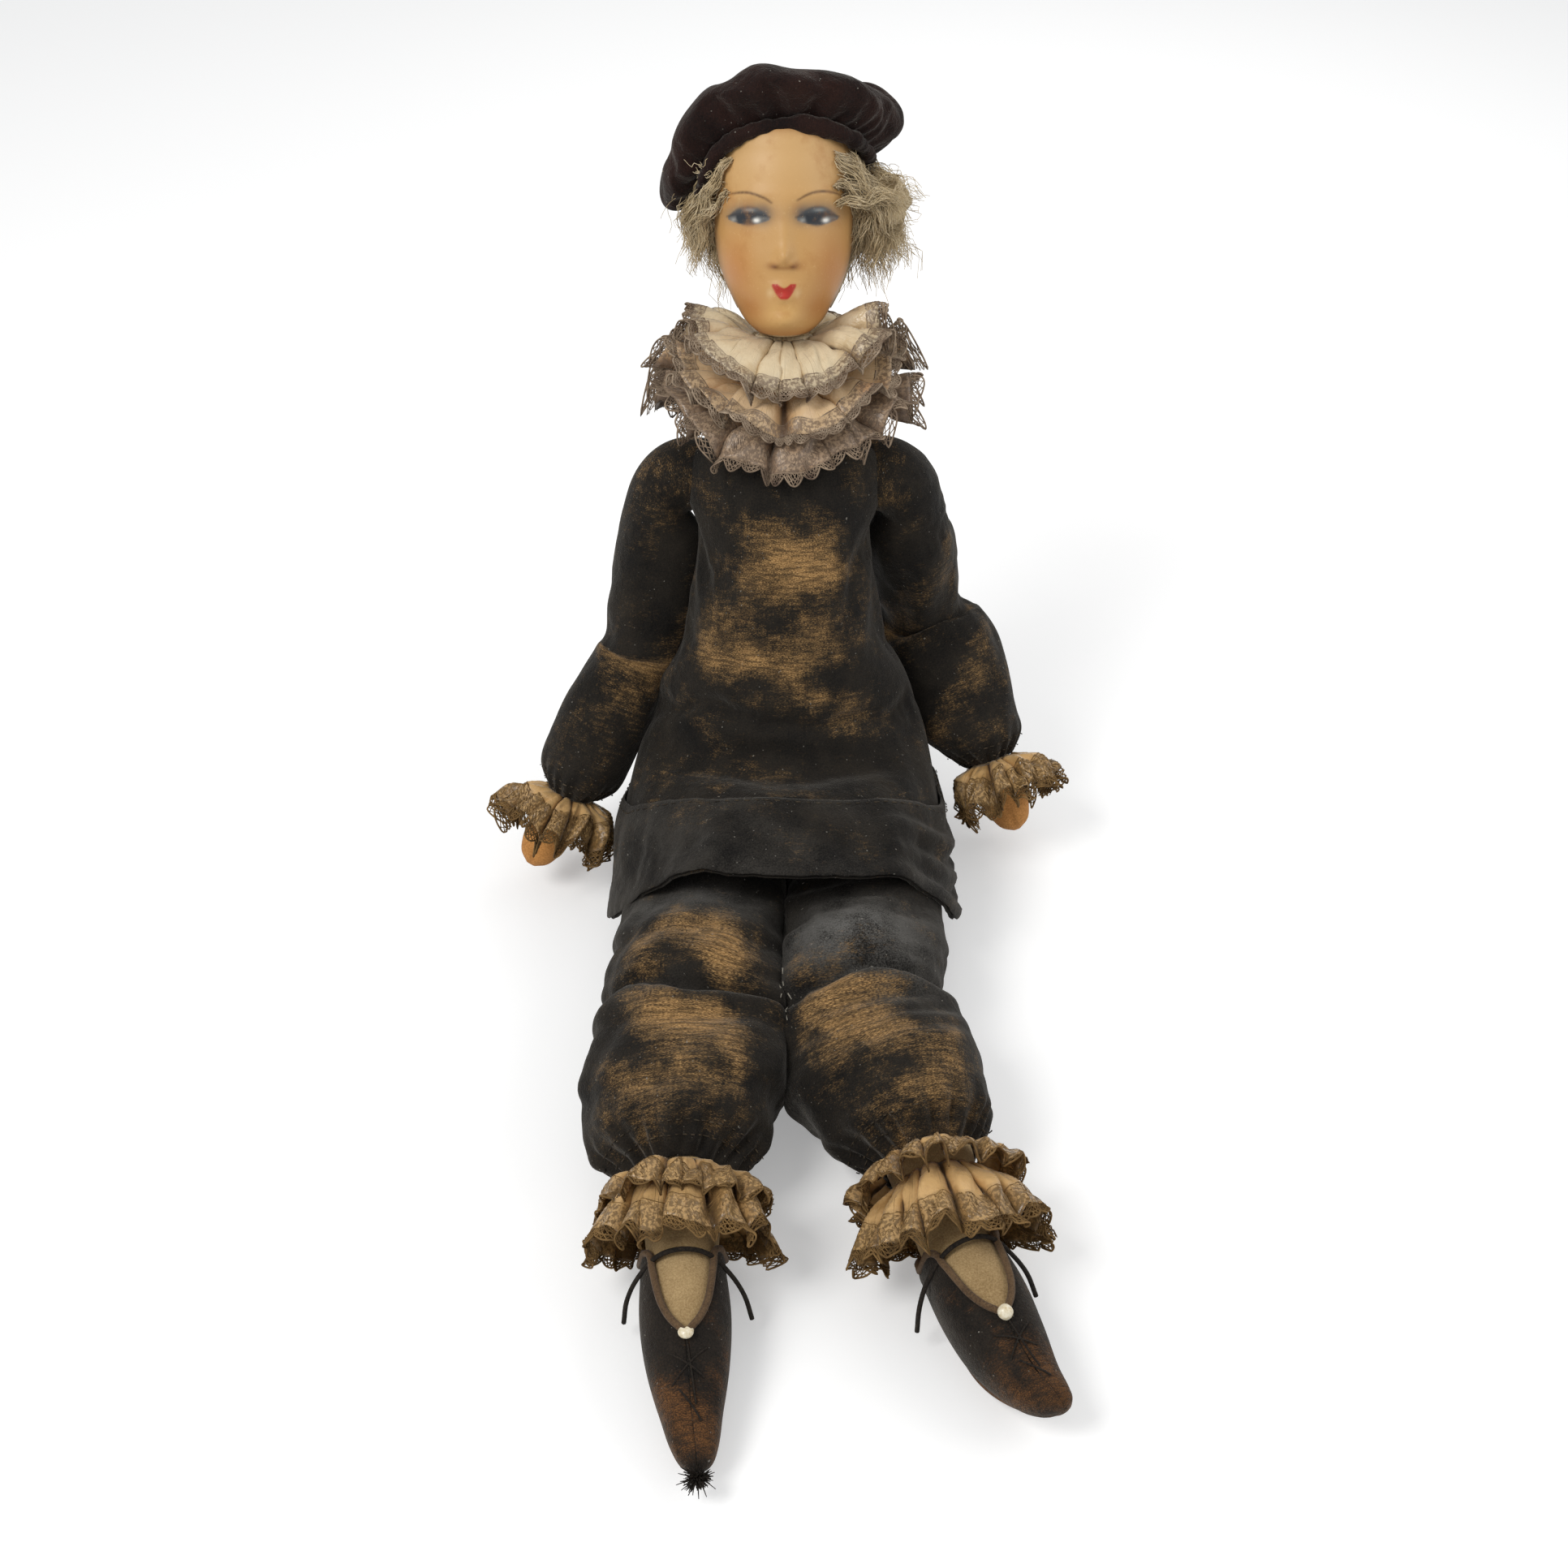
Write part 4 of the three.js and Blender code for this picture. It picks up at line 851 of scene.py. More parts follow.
def sleeve_folds(side, along, elbow):
    """Creases across the elbow, loose ripples along the arm and gathers at the wrist."""
    end = along[-1]
    bend = np.exp(-((along - elbow) / 20) ** 2)[:, None]
    inner_bend = rise(-np.sin(sleeve_turn) * side, -0.4, 0.8)[None]
    creases = np.sin(along[:, None] / 4.4 + 1.5 * ripple(41 + side, 2.0 * sleeve_turn)[None])
    loose = 0.5 + rise(along, 40, 90)[:, None]
    wrist = (rise(along, end - 26, end - 2) * (1 - rise(along, end - 3, end)))[:, None]
    folds = 1.7 * bend * creases * (0.35 + 0.65 * inner_bend)
    folds = folds + loose * ripple(43 + side, along[:, None] / 17, 2 * np.sin(sleeve_turn)[None])
    return folds + 1.3 * wrist * np.cos(15 * sleeve_turn + ripple(5, 3 * sleeve_turn))[None]


def gather_lines(rows, out, along, *from_end):
    """Closed lines just off the cloth, at some distances from its end."""
    found = np.searchsorted(along, along[-1] - np.array(from_end))
    return [(rows[k] + 0.4 * out[k], True) for k in found]


for name, side in SIDES.items():
    rows, along = loft(sleeve_rings(name), SLEEVE_STEP)
    out = normals_of(rows)
    elbow = along[-1] - BELOW_ELBOW
    folds = sleeve_folds(side, along, elbow)
    rows = rows + out * folds[..., None]
    faces, corners = grid(len(rows), SLEEVE_COLUMNS)
    held = np.maximum(1 - 0.9 * rise(along, 24, 70), rise(along, along[-1] - 9, along[-1] - 1))
    flat = rows.reshape(-1, 3)
    pins = np.repeat(held, SLEEVE_COLUMNS)
    points = settle_cloth(flat, faces, pins, spare=0.07, blow=0.2, out=3.5, dent=2.2, seed=7 + side)
    level = np.repeat(along, SLEEVE_COLUMNS)
    facing = rise(-(out.reshape(-1, 3) @ np.array([0, 0.75, -0.65])), -0.2, 0.6)
    wear = 0.17 + facing * (0.22 * ripple(51 + side, level / 19, flat[:, 0] / 15) + 0.1)
    wear = wear + facing * 0.35 * np.exp(-((level - elbow) / 16) ** 2) * (0.6 + ripple(8, level / 9))
    uv = cloth_uv(points, len(rows), SLEEVE_COLUMNS, corners)
    sleeve = add_mesh(f"{name}_velvet_sleeve", points, faces, suit_velvet, uv, {"wear": wear})
    finish_piece(sleeve, THIN_VELVET, 1)
    settle(sleeve)
    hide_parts(f"{name}_upper_sleeve", f"{name}_lower_sleeve")
    upper, lower = PLACES[name]["upper"], PLACES[name]["lower"]
    tuple(upper((0, 0, ELBOW_BLEND - UPPER_ARM)) * MM)
    tuple(lower((0, 0, -ELBOW_BLEND)) * MM)
    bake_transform(sleeve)
    shaped = points.reshape(len(rows), SLEEVE_COLUMNS, 3)
    gathers = gather_lines(shaped, out, along, 13, 7)
    SEAMS[f"{name}_wrist_gathers"] = ([f"{name}_forearm"], gathers, 4.0, "dark", None)
    print(name, "sleeve, girth at the wrist", round(length_of(shaped[-1]), 1), "mm")

# %% [markdown]
# ## Trousers
# Each trouser leg is a wide tube over the stuffed leg, gathered in at the ankle. The leg lies on the
# floor, so its underside is flat there. The tube crosses the knee, where old velvet folds straight
# across, and it is blended between the thigh and the lower leg.

# %% Trouser legs
UPPER_TROUSER = [(-15, 10, 8, 8), (-11, 22, 17, 18), (-3, 29, 23, 26), (10, 32, 26.5, 29), (38, 34, 27, 36),
                 (72, 36, 29, 38), (104, 40, 35, 39), (124, 40.5, 34.5, 38)]
LOWER_TROUSER = [(10, 40.5, 33, 37), (28, 43, 37, 37), (52, 42, 37, 35), (70, 37, 33.5, 31),
                 (80, 28, 26.5, 25.5), (87, 21.6, 21.4, 21.2)]
TROUSER_COLUMNS = 112
TROUSER_STEP = 3.2
HIP_FOLD = math.tan(math.radians(36))
leg_turn = around(TROUSER_COLUMNS)
LAP_WEAR = {  # place across and along the floor, half sizes and strength
    "left": [
        (40, -162, 20, 8, 0.25), (24, -190, 15, 17, 0.85), (38, -219, 24, 15, 0.8), (60, -250, 22, 12, 0.6),
        (78, -232, 8, 20, 0.4), (52, -190, 16, 8, 0.4), (64, -268, 22, 8, 0.4)],
    "right": [
        (-46, -152, 24, 15, 0.75), (-28, -168, 12, 20, 0.7), (-46, -211, 27, 13, 0.9),
        (-57, -242, 22, 14, 0.65), (-66, -176, 10, 22, 0.45), (-24, -232, 10, 20, 0.4),
        (-50, -262, 22, 8, 0.4)],
}
# where the lap faces up: a dusty grey that is partly dirt and partly a painted sheen of the light from above
LAP_DUST_AND_SHEEN = {
    "left": [(34, -150, 36, 22, 0.95), (60, -182, 20, 16, 0.4)],
    "right": [(-48, -126, 36, 12, 0.6), (-60, -190, 18, 10, 0.3)],
}
INNER_BULGE = 13.0  # how far the two legs swell towards each other
TOUCH = 7.0  # from here the inner sides are pressed flat against each other
OVERLAP = 2.6
KNEE_NOTCH = {"left": 17.0, "right": 3.0}  # how far the outer side is drawn in above the knee
SHIN_SLIM = {"left": 6.0, "right": 0.0}
LEG_SHORT = {"left": 8.0, "right": 0.0}  # this trouser leg is pulled up a little
ANKLE_AT = 87
BELOW_KNEE = 92
KNEE_BLEND = 26  # a distance to each side of the knee, whose points are noted with the inseam


def trouser_rings(name):
    """Control rings of a trouser leg in the doll's frame, from the hip to the ankle."""
    side = SIDES[name]
    thigh = PLACES[name]["thigh"]
    rings = []
    c = np.cos(leg_turn)
    s = np.sin(leg_turn)
    for stations, place in ((UPPER_TROUSER, thigh), (LOWER_TROUSER, PLACES[name]["shin"])):
        for along, width, up, down in stations:
            y = np.where(s < 0, up, down) * s
            start_fold = 0
            from_hip = along
            if place is thigh:
                start_fold = 1 - rise(np.array(along), 6, 62)
            else:
                along = along * (1 - LEG_SHORT[name] / ANKLE_AT)
                from_hip = THIGH + along
            bulge = INNER_BULGE * rise(from_hip, -10, 30) * (1 - rise(from_hip, 150, 205))
            notch = KNEE_NOTCH[name] * math.exp(-(((from_hip - 124) / 24) ** 2))
            notch = notch + SHIN_SLIM[name] * rise(from_hip, 130, 170) * (1 - rise(from_hip, 190, 220))
            width = width + bulge * rise(-side * c, 0.0, 0.7) - notch * rise(side * c, 0.0, 0.7)
            run = along + HIP_FOLD * np.maximum(y, 0) * start_fold
            rings.append(place(np.stack([width * c, y, -run], 1)))
    return rings


def trouser_folds(side, along, knee):
    """A ridge and a crease across the knee, ripples along the leg and gathers at the ankle."""
    end = along[-1]
    top = rise(-np.sin(leg_turn), -0.3, 0.5)[None]
    bend = 4 * ripple(61 + side, 2 * leg_turn)[None]
    crease = np.exp(-((along[:, None] - knee + bend + 4) / 4.0) ** 2)
    ridge = np.exp(-((along[:, None] - knee + bend - 6) / 6.5) ** 2)
    ankle = (rise(along, end - 34, end - 6) * (1 - 0.8 * rise(along, end - 6, end)))[:, None]
    folds = top * (3.2 * ridge - 4.2 * crease)
    folds = folds + 2.2 * ripple(63 + side, along[:, None] / 21, 3 * leg_turn[None])
    folds = folds + 1.0 * ripple(67 + side, along[:, None] / 5.5, 2 * np.sin(leg_turn)[None])
    folds = folds + 2.0 * ankle * np.cos(19 * leg_turn + 1.5 * ripple(6, 4 * leg_turn))[None]
    return folds * rise(along, 10, 34)[:, None]


def pressed(side, points):
    """Flattens the inner side of one leg against the other leg."""
    points = np.array(points)
    near = side * points[:, 0]
    flat = TOUCH * np.exp(np.minimum(near - TOUCH, 0) / TOUCH) - OVERLAP * rise(TOUCH - near, 0, TOUCH)
    points[:, 0] = side * np.where(near < TOUCH, flat, near)
    return points


for name, side in SIDES.items():
    rows, along = loft(trouser_rings(name), TROUSER_STEP)
    out = normals_of(rows)
    knee = along[-1] - BELOW_KNEE
    folds = trouser_folds(side, along, knee)
    rows = rows + out * folds[..., None]
    faces, corners = grid(len(rows), TROUSER_COLUMNS)
    held = np.maximum(1 - rise(along, 20, 40), rise(along, along[-1] - 10, along[-1] - 1))
    flat = rows.reshape(-1, 3)
    pins = np.repeat(held, TROUSER_COLUMNS)
    points = settle_cloth(flat, faces, pins, spare=0.06, blow=0.3, out=4.0, dent=2.6, seed=17 + side)
    facing = rise(out.reshape(-1, 3)[:, 2], 0.05, 0.7)
    wear = facing * spots(flat[:, 0], flat[:, 1], *LAP_WEAR[name])
    wear = wear + 0.14 + 0.12 * ripple(71 + side, flat[:, 0] / 11, flat[:, 1] / 13)
    wear = wear - 0.5 * np.repeat(np.exp(-((along - knee + 4) / 3.0) ** 2), TROUSER_COLUMNS)
    points = pressed(side, on_floor(points))
    # painted sheen with some dirt: grey on the lap's upward faces, where the light from above falls
    dust_and_sheen = facing * spots(flat[:, 0], flat[:, 1], *LAP_DUST_AND_SHEEN[name])
    uv = cloth_uv(points, len(rows), TROUSER_COLUMNS, corners)
    leg = add_mesh(f"{name}_velvet_trouser_leg", points, faces, suit_velvet, uv, {"wear": wear, "dust_and_sheen": dust_and_sheen})
    finish_piece(leg, VELVET_THICK, 1)
    settle(leg)
    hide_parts(f"{name}_upper_trouser_leg", f"{name}_lower_trouser_leg")
    thigh, shin = PLACES[name]["thigh"], PLACES[name]["shin"]
    knee_run = {"start": tuple(thigh((0, 0, KNEE_BLEND - THIGH)) * MM),
                "end": tuple(shin((0, 0, -KNEE_BLEND)) * MM)}
    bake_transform(leg)
    shaped = points.reshape(len(rows), TROUSER_COLUMNS, 3)
    inner = int(np.argmin(np.abs(np.cos(leg_turn) + 0.84 * side) + np.abs(np.sin(leg_turn) + 0.54)))
    seam = slice(*np.searchsorted(along, [knee - 20, knee + 10]))
    inseam = [(shaped[seam, inner] + 0.2 * out[seam, inner], False)]
    SEAMS[f"{name}_inseam_stitches"] = ([f"{name}_thigh", f"{name}_lower_leg"], inseam, 6.0, "pale", knee_run)
    gathers = gather_lines(shaped, out, along, 17, 10)
    SEAMS[f"{name}_ankle_gathers"] = ([f"{name}_lower_leg"], gathers, 4.6, "dark", None)
    print(name, "trouser leg", len(points), "points")

# %% [markdown]
# The seat of the trousers is the part that the doll sits on. It is stuffed and lies flat on the floor,
# and in front it slopes back from the hips, which leaves room for the legs to fold down.

# %% Trouser seat
TORSO = [(-62, 40, 30, 42), (-30, 46, 30, 54), (-10, 48, 27.4, 52), (20, 46, 30, 44), (60, 40, 32, 34),
         (100, 38, 34, 31), (140, 42, 36, 32), (175, 44.8, 32, 30), (190, 43, 27, 26), (200, 24, 20, 20),
         (NECK_BASE, 15, 15, 15)]
SEAT_COLUMNS = 64
TORSO_STEP = 4
seat_turn = around(SEAT_COLUMNS)


def torso_rows(stations, grow):
    """Rows of the body's form in its own frame, made a little larger or smaller."""
    rings = [oval_ring(seat_turn, high, *np.add(sizes, grow)) for high, *sizes in stations]
    return loft(rings, TORSO_STEP)[0]


def clear_of_hips(points):
    """Keeps points behind the slope that runs down and back from the hip seam."""
    points = np.array(points)
    limit = HIP_FORWARD + 1 + HIP_FOLD * np.maximum(HIP_UP - points[:, 2], 0)
    points[:, 1] = np.maximum(points[:, 1], limit)
    return points


rows = torso_rows(TORSO[:5], 2.2)
points = on_floor(clear_of_hips(on_floor(BODY(rows.reshape(-1, 3)))))
faces, corners = grid(len(rows), SEAT_COLUMNS)
wear = 0.2 + 0.1 * ripple(81, points[:, 0] / 15, points[:, 2] / 12)
uv = cloth_uv(rows.reshape(-1, 3), len(rows), SEAT_COLUMNS, corners)
seat = add_mesh("velvet_trouser_seat", points, faces, suit_velvet, uv, {"wear": wear}, ends=SEAT_COLUMNS)
declare(seat, "black_velvet", "torso", "trouser_seat", fill=0.8)
print("seat", len(points), "points")

# %% [markdown]
# ## Silk for collar and cuffs
# The ruffles are thin old silk, cream and peach at the neck and tan at the wrists and ankles. Each strip
# is pleated: the folds' tops are painted lighter and their valleys darker, as painted light and shade with
# some dirt, and a dark line of painted shade marks the gap between two pleats. A "fold" value from the
# pleat's height drives that, and fine dark lines along the warp show where threads have split.

# %% Silk finishes
# painted shade in the narrow gap between two pleats
SLIT_SHADE = (60, 44, 32)  # the dark line between two pleats


def silk(name, light, middle, dark, stain, lace):
    """Old silk in three tones, with stains, split threads, painted shade in the folds and lace lying on it.
    """
    cloth = Finish(name, 0.5, 0.35, Sheen_Weight=0.15, Sheen_Roughness=0.4)
    clouds = cloth.noise(90, 4)
    # painted light and shade: the pleats' valleys darker and their tops lighter, with some dirt
    tone = cloth.maths("ADD", cloth.times(cloth.attribute("fold"), 0.32), clouds)
    body = cloth.ramp(tone, (0.2, dark), (0.48, middle), (0.78, light))
    split = cloth.band(cloth.weave(2, 1700, 26), 0.62, 0.7)
    body = cloth.mix(cloth.times(split, 0.7), body, dark)
    blot = cloth.band(cloth.noise(38, 5), 0.54, 0.72)
    body = cloth.mix(cloth.times(blot, 0.65), body, stain)
    # painted shade: a dark line where two pleats meet
    slit_shade = cloth.band(cloth.times(cloth.attribute("fold"), -1.0), 0.4, 0.95)
    body = cloth.mix(cloth.times(slit_shade, 0.85), body, SLIT_SHADE)
    net = cloth.times(cloth.band(cloth.noise(560, 2), 0.4, 0.58), 0.55)
    cover = cloth.times(cloth.attribute("lace"), cloth.maths("ADD", net, 0.3))
    cloth.colour(cloth.mix(cover, body, lace))
    cloth.rough(cloth.band(clouds, 0.1, 1.2))
    cloth.bump(cloth.weave(1, 1500, 320), 0.0004, 0.5)
    cloth.bump(cloth.noise(210, 3), 0.0012, 0.35)
    return cloth


collar_silks = {
    "upper": silk(
        "cream_silk", (222, 203, 168), (204, 180, 140), (138, 110, 76), (176, 132, 84), (112, 92, 74)),
    "middle": silk(
        "peach_silk", (222, 190, 148), (206, 168, 122), (142, 106, 70), (186, 132, 82), (112, 92, 74)),
    "lower": silk("mauve_silk", (188, 160, 130), (152, 124, 98), (98, 78, 62), (168, 120, 74), (106, 88, 72)),
}
cuff_silk = silk("tan_silk", (208, 168, 112), (178, 138, 86), (104, 76, 44), (132, 98, 54), (98, 76, 46))


def thread_finish(name, dark, light):
    """A dull thread in two tones."""
    thread = Finish(name, 0.8, 0.2)
    thread.colour(thread.ramp(thread.noise(140, 4), (0.32, dark), (0.7, light)))
    thread.bump(thread.noise(2500, 2), 0.0002)
    return thread


collar_lace = thread_finish("collar_lace_thread", (96, 76, 60), (184, 164, 140))
mauve_lace = thread_finish("mauve_lace_thread", (96, 79, 66), (172, 150, 126))
cuff_lace = thread_finish("cuff_lace_thread", (84, 62, 34), (146, 114, 70))
print("silks and lace threads mixed")

# %% [markdown]
# ## Pleats
# A ruffle runs from a seam to a free edge. Its pleats are a wave along the seam. A plain sine looks like
# a pie crust, so the wave is flattened into panels and each panel slides out over the valley next to it,
# as a pressed pleat does. The same function gives any point of the surface, so the lace can lie on it.

# %% Ruffle surface
def rim(width, front, back, side_height, front_height, back_height):
    """A ring's points for each turn, from its half width, front and back and the heights there."""

    def points(turn):
        c = np.cos(turn)
        s = np.sin(turn)
        depth = np.where(s < 0, front, back)
        height = side_height * c * c + np.where(s < 0, front_height, back_height) * s * s
        return np.stack([width * c, depth * s, height], -1)

    return points


def even_rim(radius, height):
    """A round and level rim."""
    return rim(radius, radius, radius, height, height, height)


SLIDE = 0.19  # how far a panel slides over the valley beside it


class Ruffle:
    """A pleated strip between two rims. Calling it gives the points at a turn and a share of its reach."""

    def __init__(self, place, inner, outer, pleats, depth, seed, arch, ragged, crush, valley, flute=0.2):
        self.place = place
        self.inner = inner
        self.outer = outer
        self.pleats = pleats
        self.depth = depth
        self.seed = seed
        self.arch = arch
        self.ragged = ragged
        self.crush = crush
        self.valley = valley  # width of the fold between two panels, as a share of a pleat
        self.flute = flute  # how much deeper the pleats are at the sides and behind

    def phase(self, turn):
        uneven = np.sin(turn * 2 + self.seed) + 0.7 * np.sin(turn * 5 + 2.3 * self.seed)
        return turn / (2 * math.pi) * self.pleats + 0.4 * uneven

    def in_pleat(self, turn):
        """Place in a pleat, from -0.5 to 0.5, with the valley at 0."""
        return self.phase(turn) % 1 - 0.5

    def fold(self, turn):
        return 1 - 2 * np.exp(-((self.in_pleat(turn) / self.valley) ** 2))

    def panel(self, turn, salt):
        """A fixed random value for each panel between two folds, from -1 to 1."""
        index = np.floor(self.phase(turn) + 0.5) % self.pleats
        return 2 * (np.sin(12.99 * index + 78.23 * (self.seed + salt)) * 43758.5 % 1) - 1

    def __call__(self, turn, share):
        turn, share = np.broadcast_arrays(np.asarray(turn, float), np.asarray(share, float))
        flat = 1 - np.exp(-((self.in_pleat(turn) / self.valley) ** 2))
        across_panel = (self.phase(turn) + 0.5) % 1 - 0.5
        pull = self.in_pleat(turn) / (1.6 * self.valley)
        over = SLIDE * pull * np.exp(-pull * pull) * (2 * math.pi / self.pleats) * rise(share, 0, 0.3)
        shifted = turn - over
        start = self.inner(shifted)
        end = self.outer(shifted)
        reach = share * (1 + self.ragged * np.sin(3 * turn + self.seed) * np.sin(7 * turn + 2 * self.seed)
                         + self.ragged * flat * self.panel(turn, 3))
        middle = start + (end - start) * reach[..., None]
        run = end - start
        level = np.hypot(run[..., 0], run[..., 1])
        lean = np.arctan2(run[..., 2], level)
        tip = -np.sin(lean)
        across = np.stack([tip * np.cos(shifted), tip * np.sin(shifted), np.cos(lean)], -1)
        in_front = np.clip(-np.sin(turn), 0, 1) ** 2
        uneven = (1 + 0.35 * np.sin(4 * turn + 1.7 * self.seed)) * (1 + self.flute * (1 - in_front))
        tilt = flat * (2.2 * self.panel(turn, 1) * across_panel + 0.6 * self.panel(turn, 2))
        lift = self.depth * (0.2 + 0.8 * share) * uneven * (self.fold(turn) + tilt)
        lift = lift + self.arch * np.sin(math.pi * np.clip(share, 0, 1.2))
        lift = lift + self.crush * ripple(self.seed, 14 * turn, 5 * share) * rise(share, 0, 0.5)
        return on_floor(self.place(middle + across * lift[..., None]))


SILK_ROWS = 16
POINTS_PER_PLEAT = 20
SILK_THICK = 0.5


def silk_strip(name, ruffle, finish, lace_from):
    """The silk of a ruffle as a piece, and the flat size of its strip in millimetres."""
    columns = ruffle.pleats * POINTS_PER_PLEAT
    turn = around(columns)
    share = np.linspace(0, 1, SILK_ROWS)
    rows = ruffle(turn[None], share[:, None])
    faces, corners = grid(SILK_ROWS, columns)
    deep = np.linalg.norm(np.diff(rows, axis=0), axis=2).sum(0).mean()
    girth = np.linalg.norm(rows - np.roll(rows, 1, axis=1), axis=2).sum(1)
    uv = np.stack([corners[:, 1] / columns * girth.max(), corners[:, 0] / (SILK_ROWS - 1) * deep], 1) * MM
    fold = np.broadcast_to(ruffle.fold(turn)[None], (SILK_ROWS, columns)).ravel()
    lace = np.repeat(rise(share, lace_from - 0.03, lace_from + 0.03), columns)
    piece = add_mesh(name, rows.reshape(-1, 3), faces, finish, uv, {"fold": fold, "lace": lace})
    finish_piece(piece, SILK_THICK, 0, 0)
    return piece, (deep, girth.mean())


print("ruffles ready")

# %% [markdown]
# ## Lace
# The edgings are machine lace: a fine net between cords, with a scalloped edge and a small eyelet in each
# scallop. Drawing it as an image would be flat from the side, so it is real thread. Lines are laid on the
# ruffle's own surface, and a Geometry Nodes tree turns every line into a thin tube.

# %% Thread tree
def socket_named(tree, name):
    """The key by which a modifier knows a tree's input."""
    items = tree.interface.items_tree
    return next(item.identifier for item in items if item.name == name and item.in_out == "INPUT")


def start_tree(name, **inputs):
    """A tree with named inputs: the tree itself, its inputs, and a piece's edges as curves."""
    tree = bpy.data.node_groups.new(name, "GeometryNodeTree")
    for label, kind in {"Geometry": "Geometry", **inputs, "Material": "Material"}.items():
        tree.interface.new_socket(label, in_out="INPUT", socket_type=f"NodeSocket{kind}")
    tree.interface.new_socket("Geometry", in_out="OUTPUT", socket_type="NodeSocketGeometry")
    source = tree.nodes.new("NodeGroupInput").outputs
    lines = tree.nodes.new("GeometryNodeMeshToCurve")
    tree.links.new(source["Geometry"], lines.inputs["Mesh"])
    return tree, source, lines.outputs["Curve"]


def end_tree(tree, source, made):
    """Ends a tree: what it made becomes one real mesh with the material."""
    real = tree.nodes.new("GeometryNodeRealizeInstances")
    coat = tree.nodes.new("GeometryNodeSetMaterial")
    result = tree.nodes.new("NodeGroupOutput")
    link = tree.links.new
    link(made, real.inputs["Geometry"])
    link(real.outputs["Geometry"], coat.inputs["Geometry"])
    link(source["Material"], coat.inputs["Material"])
    link(coat.outputs["Geometry"], result.inputs["Geometry"])
    return tree


def thread_tree():
    """Lines become tubes: Radius is the tube's, scaled by the line's own thick value."""
    tree, source, lines = start_tree("thread", Radius="Float", Sides="Int")
    ring = tree.nodes.new("GeometryNodeCurvePrimitiveCircle")
    thick = tree.nodes.new("GeometryNodeInputNamedAttribute")
    thick.data_type = "FLOAT"
    thick.inputs["Name"].default_value = "thick"
    tube = tree.nodes.new("GeometryNodeCurveToMesh")
    tube.inputs["Fill Caps"].default_value = True
    link = tree.links.new
    link(source["Radius"], ring.inputs["Radius"])
    link(source["Sides"], ring.inputs["Resolution"])
    link(lines, tube.inputs["Curve"])
    link(ring.outputs["Curve"], tube.inputs["Profile Curve"])
    link(thick.outputs["Attribute"], tube.inputs["Scale"])
    return end_tree(tree, source, tube.outputs["Mesh"])


THREAD = thread_tree()


def add_lines(name, lines):
    """A piece of bare edges. Each line is its points in millimetres, its thickness and if it is closed."""
    points = []
    edges = []
    thick = []
    for line, weight, closed in lines:
        first = len(points)
        count = len(line)
        points.extend(np.asarray(line) * MM)
        thick.extend(np.broadcast_to(weight, count))
        edges.extend((first + i, first + i + 1) for i in range(count - 1))
        if closed:
            edges.append((first + count - 1, first))
    mesh = bpy.data.meshes.new(name)
    mesh.from_pydata([tuple(p) for p in points], edges, [])
    mesh.attributes.new("thick", "FLOAT", "POINT").data.foreach_set("value", np.array(thick, float))
    piece = bpy.data.objects.new(name, mesh)
    scene.collection.objects.link(piece)
    return piece


def grow(piece, tree, **inputs):
    """Runs a tree on a piece's lines and keeps the mesh that it makes."""
    made = piece.modifiers.new(tree.name, "NODES")
    made.node_group = tree
    for name, value in inputs.items():
        made[socket_named(tree, name)] = value
    settle(piece)
    piece.data.shade_smooth()


def add_threads(name, lines, radius, finish, sides):
    """A piece of tubes along lines."""
    piece = add_lines(name, lines)
    grow(piece, THREAD, Radius=radius * MM, Sides=sides, Material=finish.material)
    return piece


NET_STEP = 2.0  # millimetres between two threads of the net
SCALLOP = 11.0  # width of one scallop
THREAD_RADIUS = 0.34


def lace_edging(name, ruffle, start, end, finish):
    """Net, cords, scallops and eyelets on a ruffle's surface between two shares of its reach."""
    fine = np.linspace(0, 2 * math.pi, 24 * ruffle.pleats, endpoint=False)
    edge = ruffle(fine, np.full_like(fine, (start + end) / 2))
    length = np.linalg.norm(edge - np.roll(edge, 1, 0), axis=1).sum()
    deep = (end - start) * 0.8
    scallops = max(8, int(round(length / SCALLOP)))

    def border(turn):
        return start + deep + (end - start - deep) * np.abs(np.sin(turn * scallops / 2))

    lines = []
    for share, weight in ((start, 1.5), (start + 0.12 * deep, 1.0), (start + deep * 0.94, 1.2)):
        lines.append((ruffle(fine, np.full_like(fine, share)), weight, True))
    dense = np.linspace(0, 2 * math.pi, 12 * scallops, endpoint=False)
    lines.append((ruffle(dense, border(dense)), 1.6, True))
    lines.append((ruffle(dense, border(dense) - 0.14 * deep), 1.0, True))
    net = int(length / NET_STEP)
    width_mm = np.linalg.norm(ruffle(0.0, end) - ruffle(0.0, start))
    lean = 2 * math.pi * width_mm * 0.75 / length
    s = np.linspace(0, 1, 8)
    for k in range(net):
        base = 2 * math.pi * k / net
        for way in (1, -1):
            turn = base + way * lean * s
            share = start + (border(turn) - start) * s
            lines.append((ruffle(turn, share), 0.85, False))
    ring = np.linspace(0, 2 * math.pi, 8, endpoint=False)
    for k in range(scallops):
        middle = 2 * math.pi * (k + 0.5) / scallops
        for size in (0.12, 0.3):
            turn = middle + np.cos(ring) * size * 2 * math.pi / scallops
            share = start + deep * (0.62 + 1.1 * size * np.sin(ring))
            lines.append((ruffle(turn, share), 1.1, True))
    return add_threads(name, lines, THREAD_RADIUS, finish, 3)


print("thread tree with", len(THREAD.nodes), "nodes")

# %% [markdown]
# ## Seams and gathers
# The suit is sewn by hand and its stitches show: along the top of the hem band, in the gathers at wrists
# and ankles, and as pale ends of thread inside the knees. The seams were noted while the clothes were
# made. A second Geometry Nodes tree walks along each one and lays a short stitch at every step.

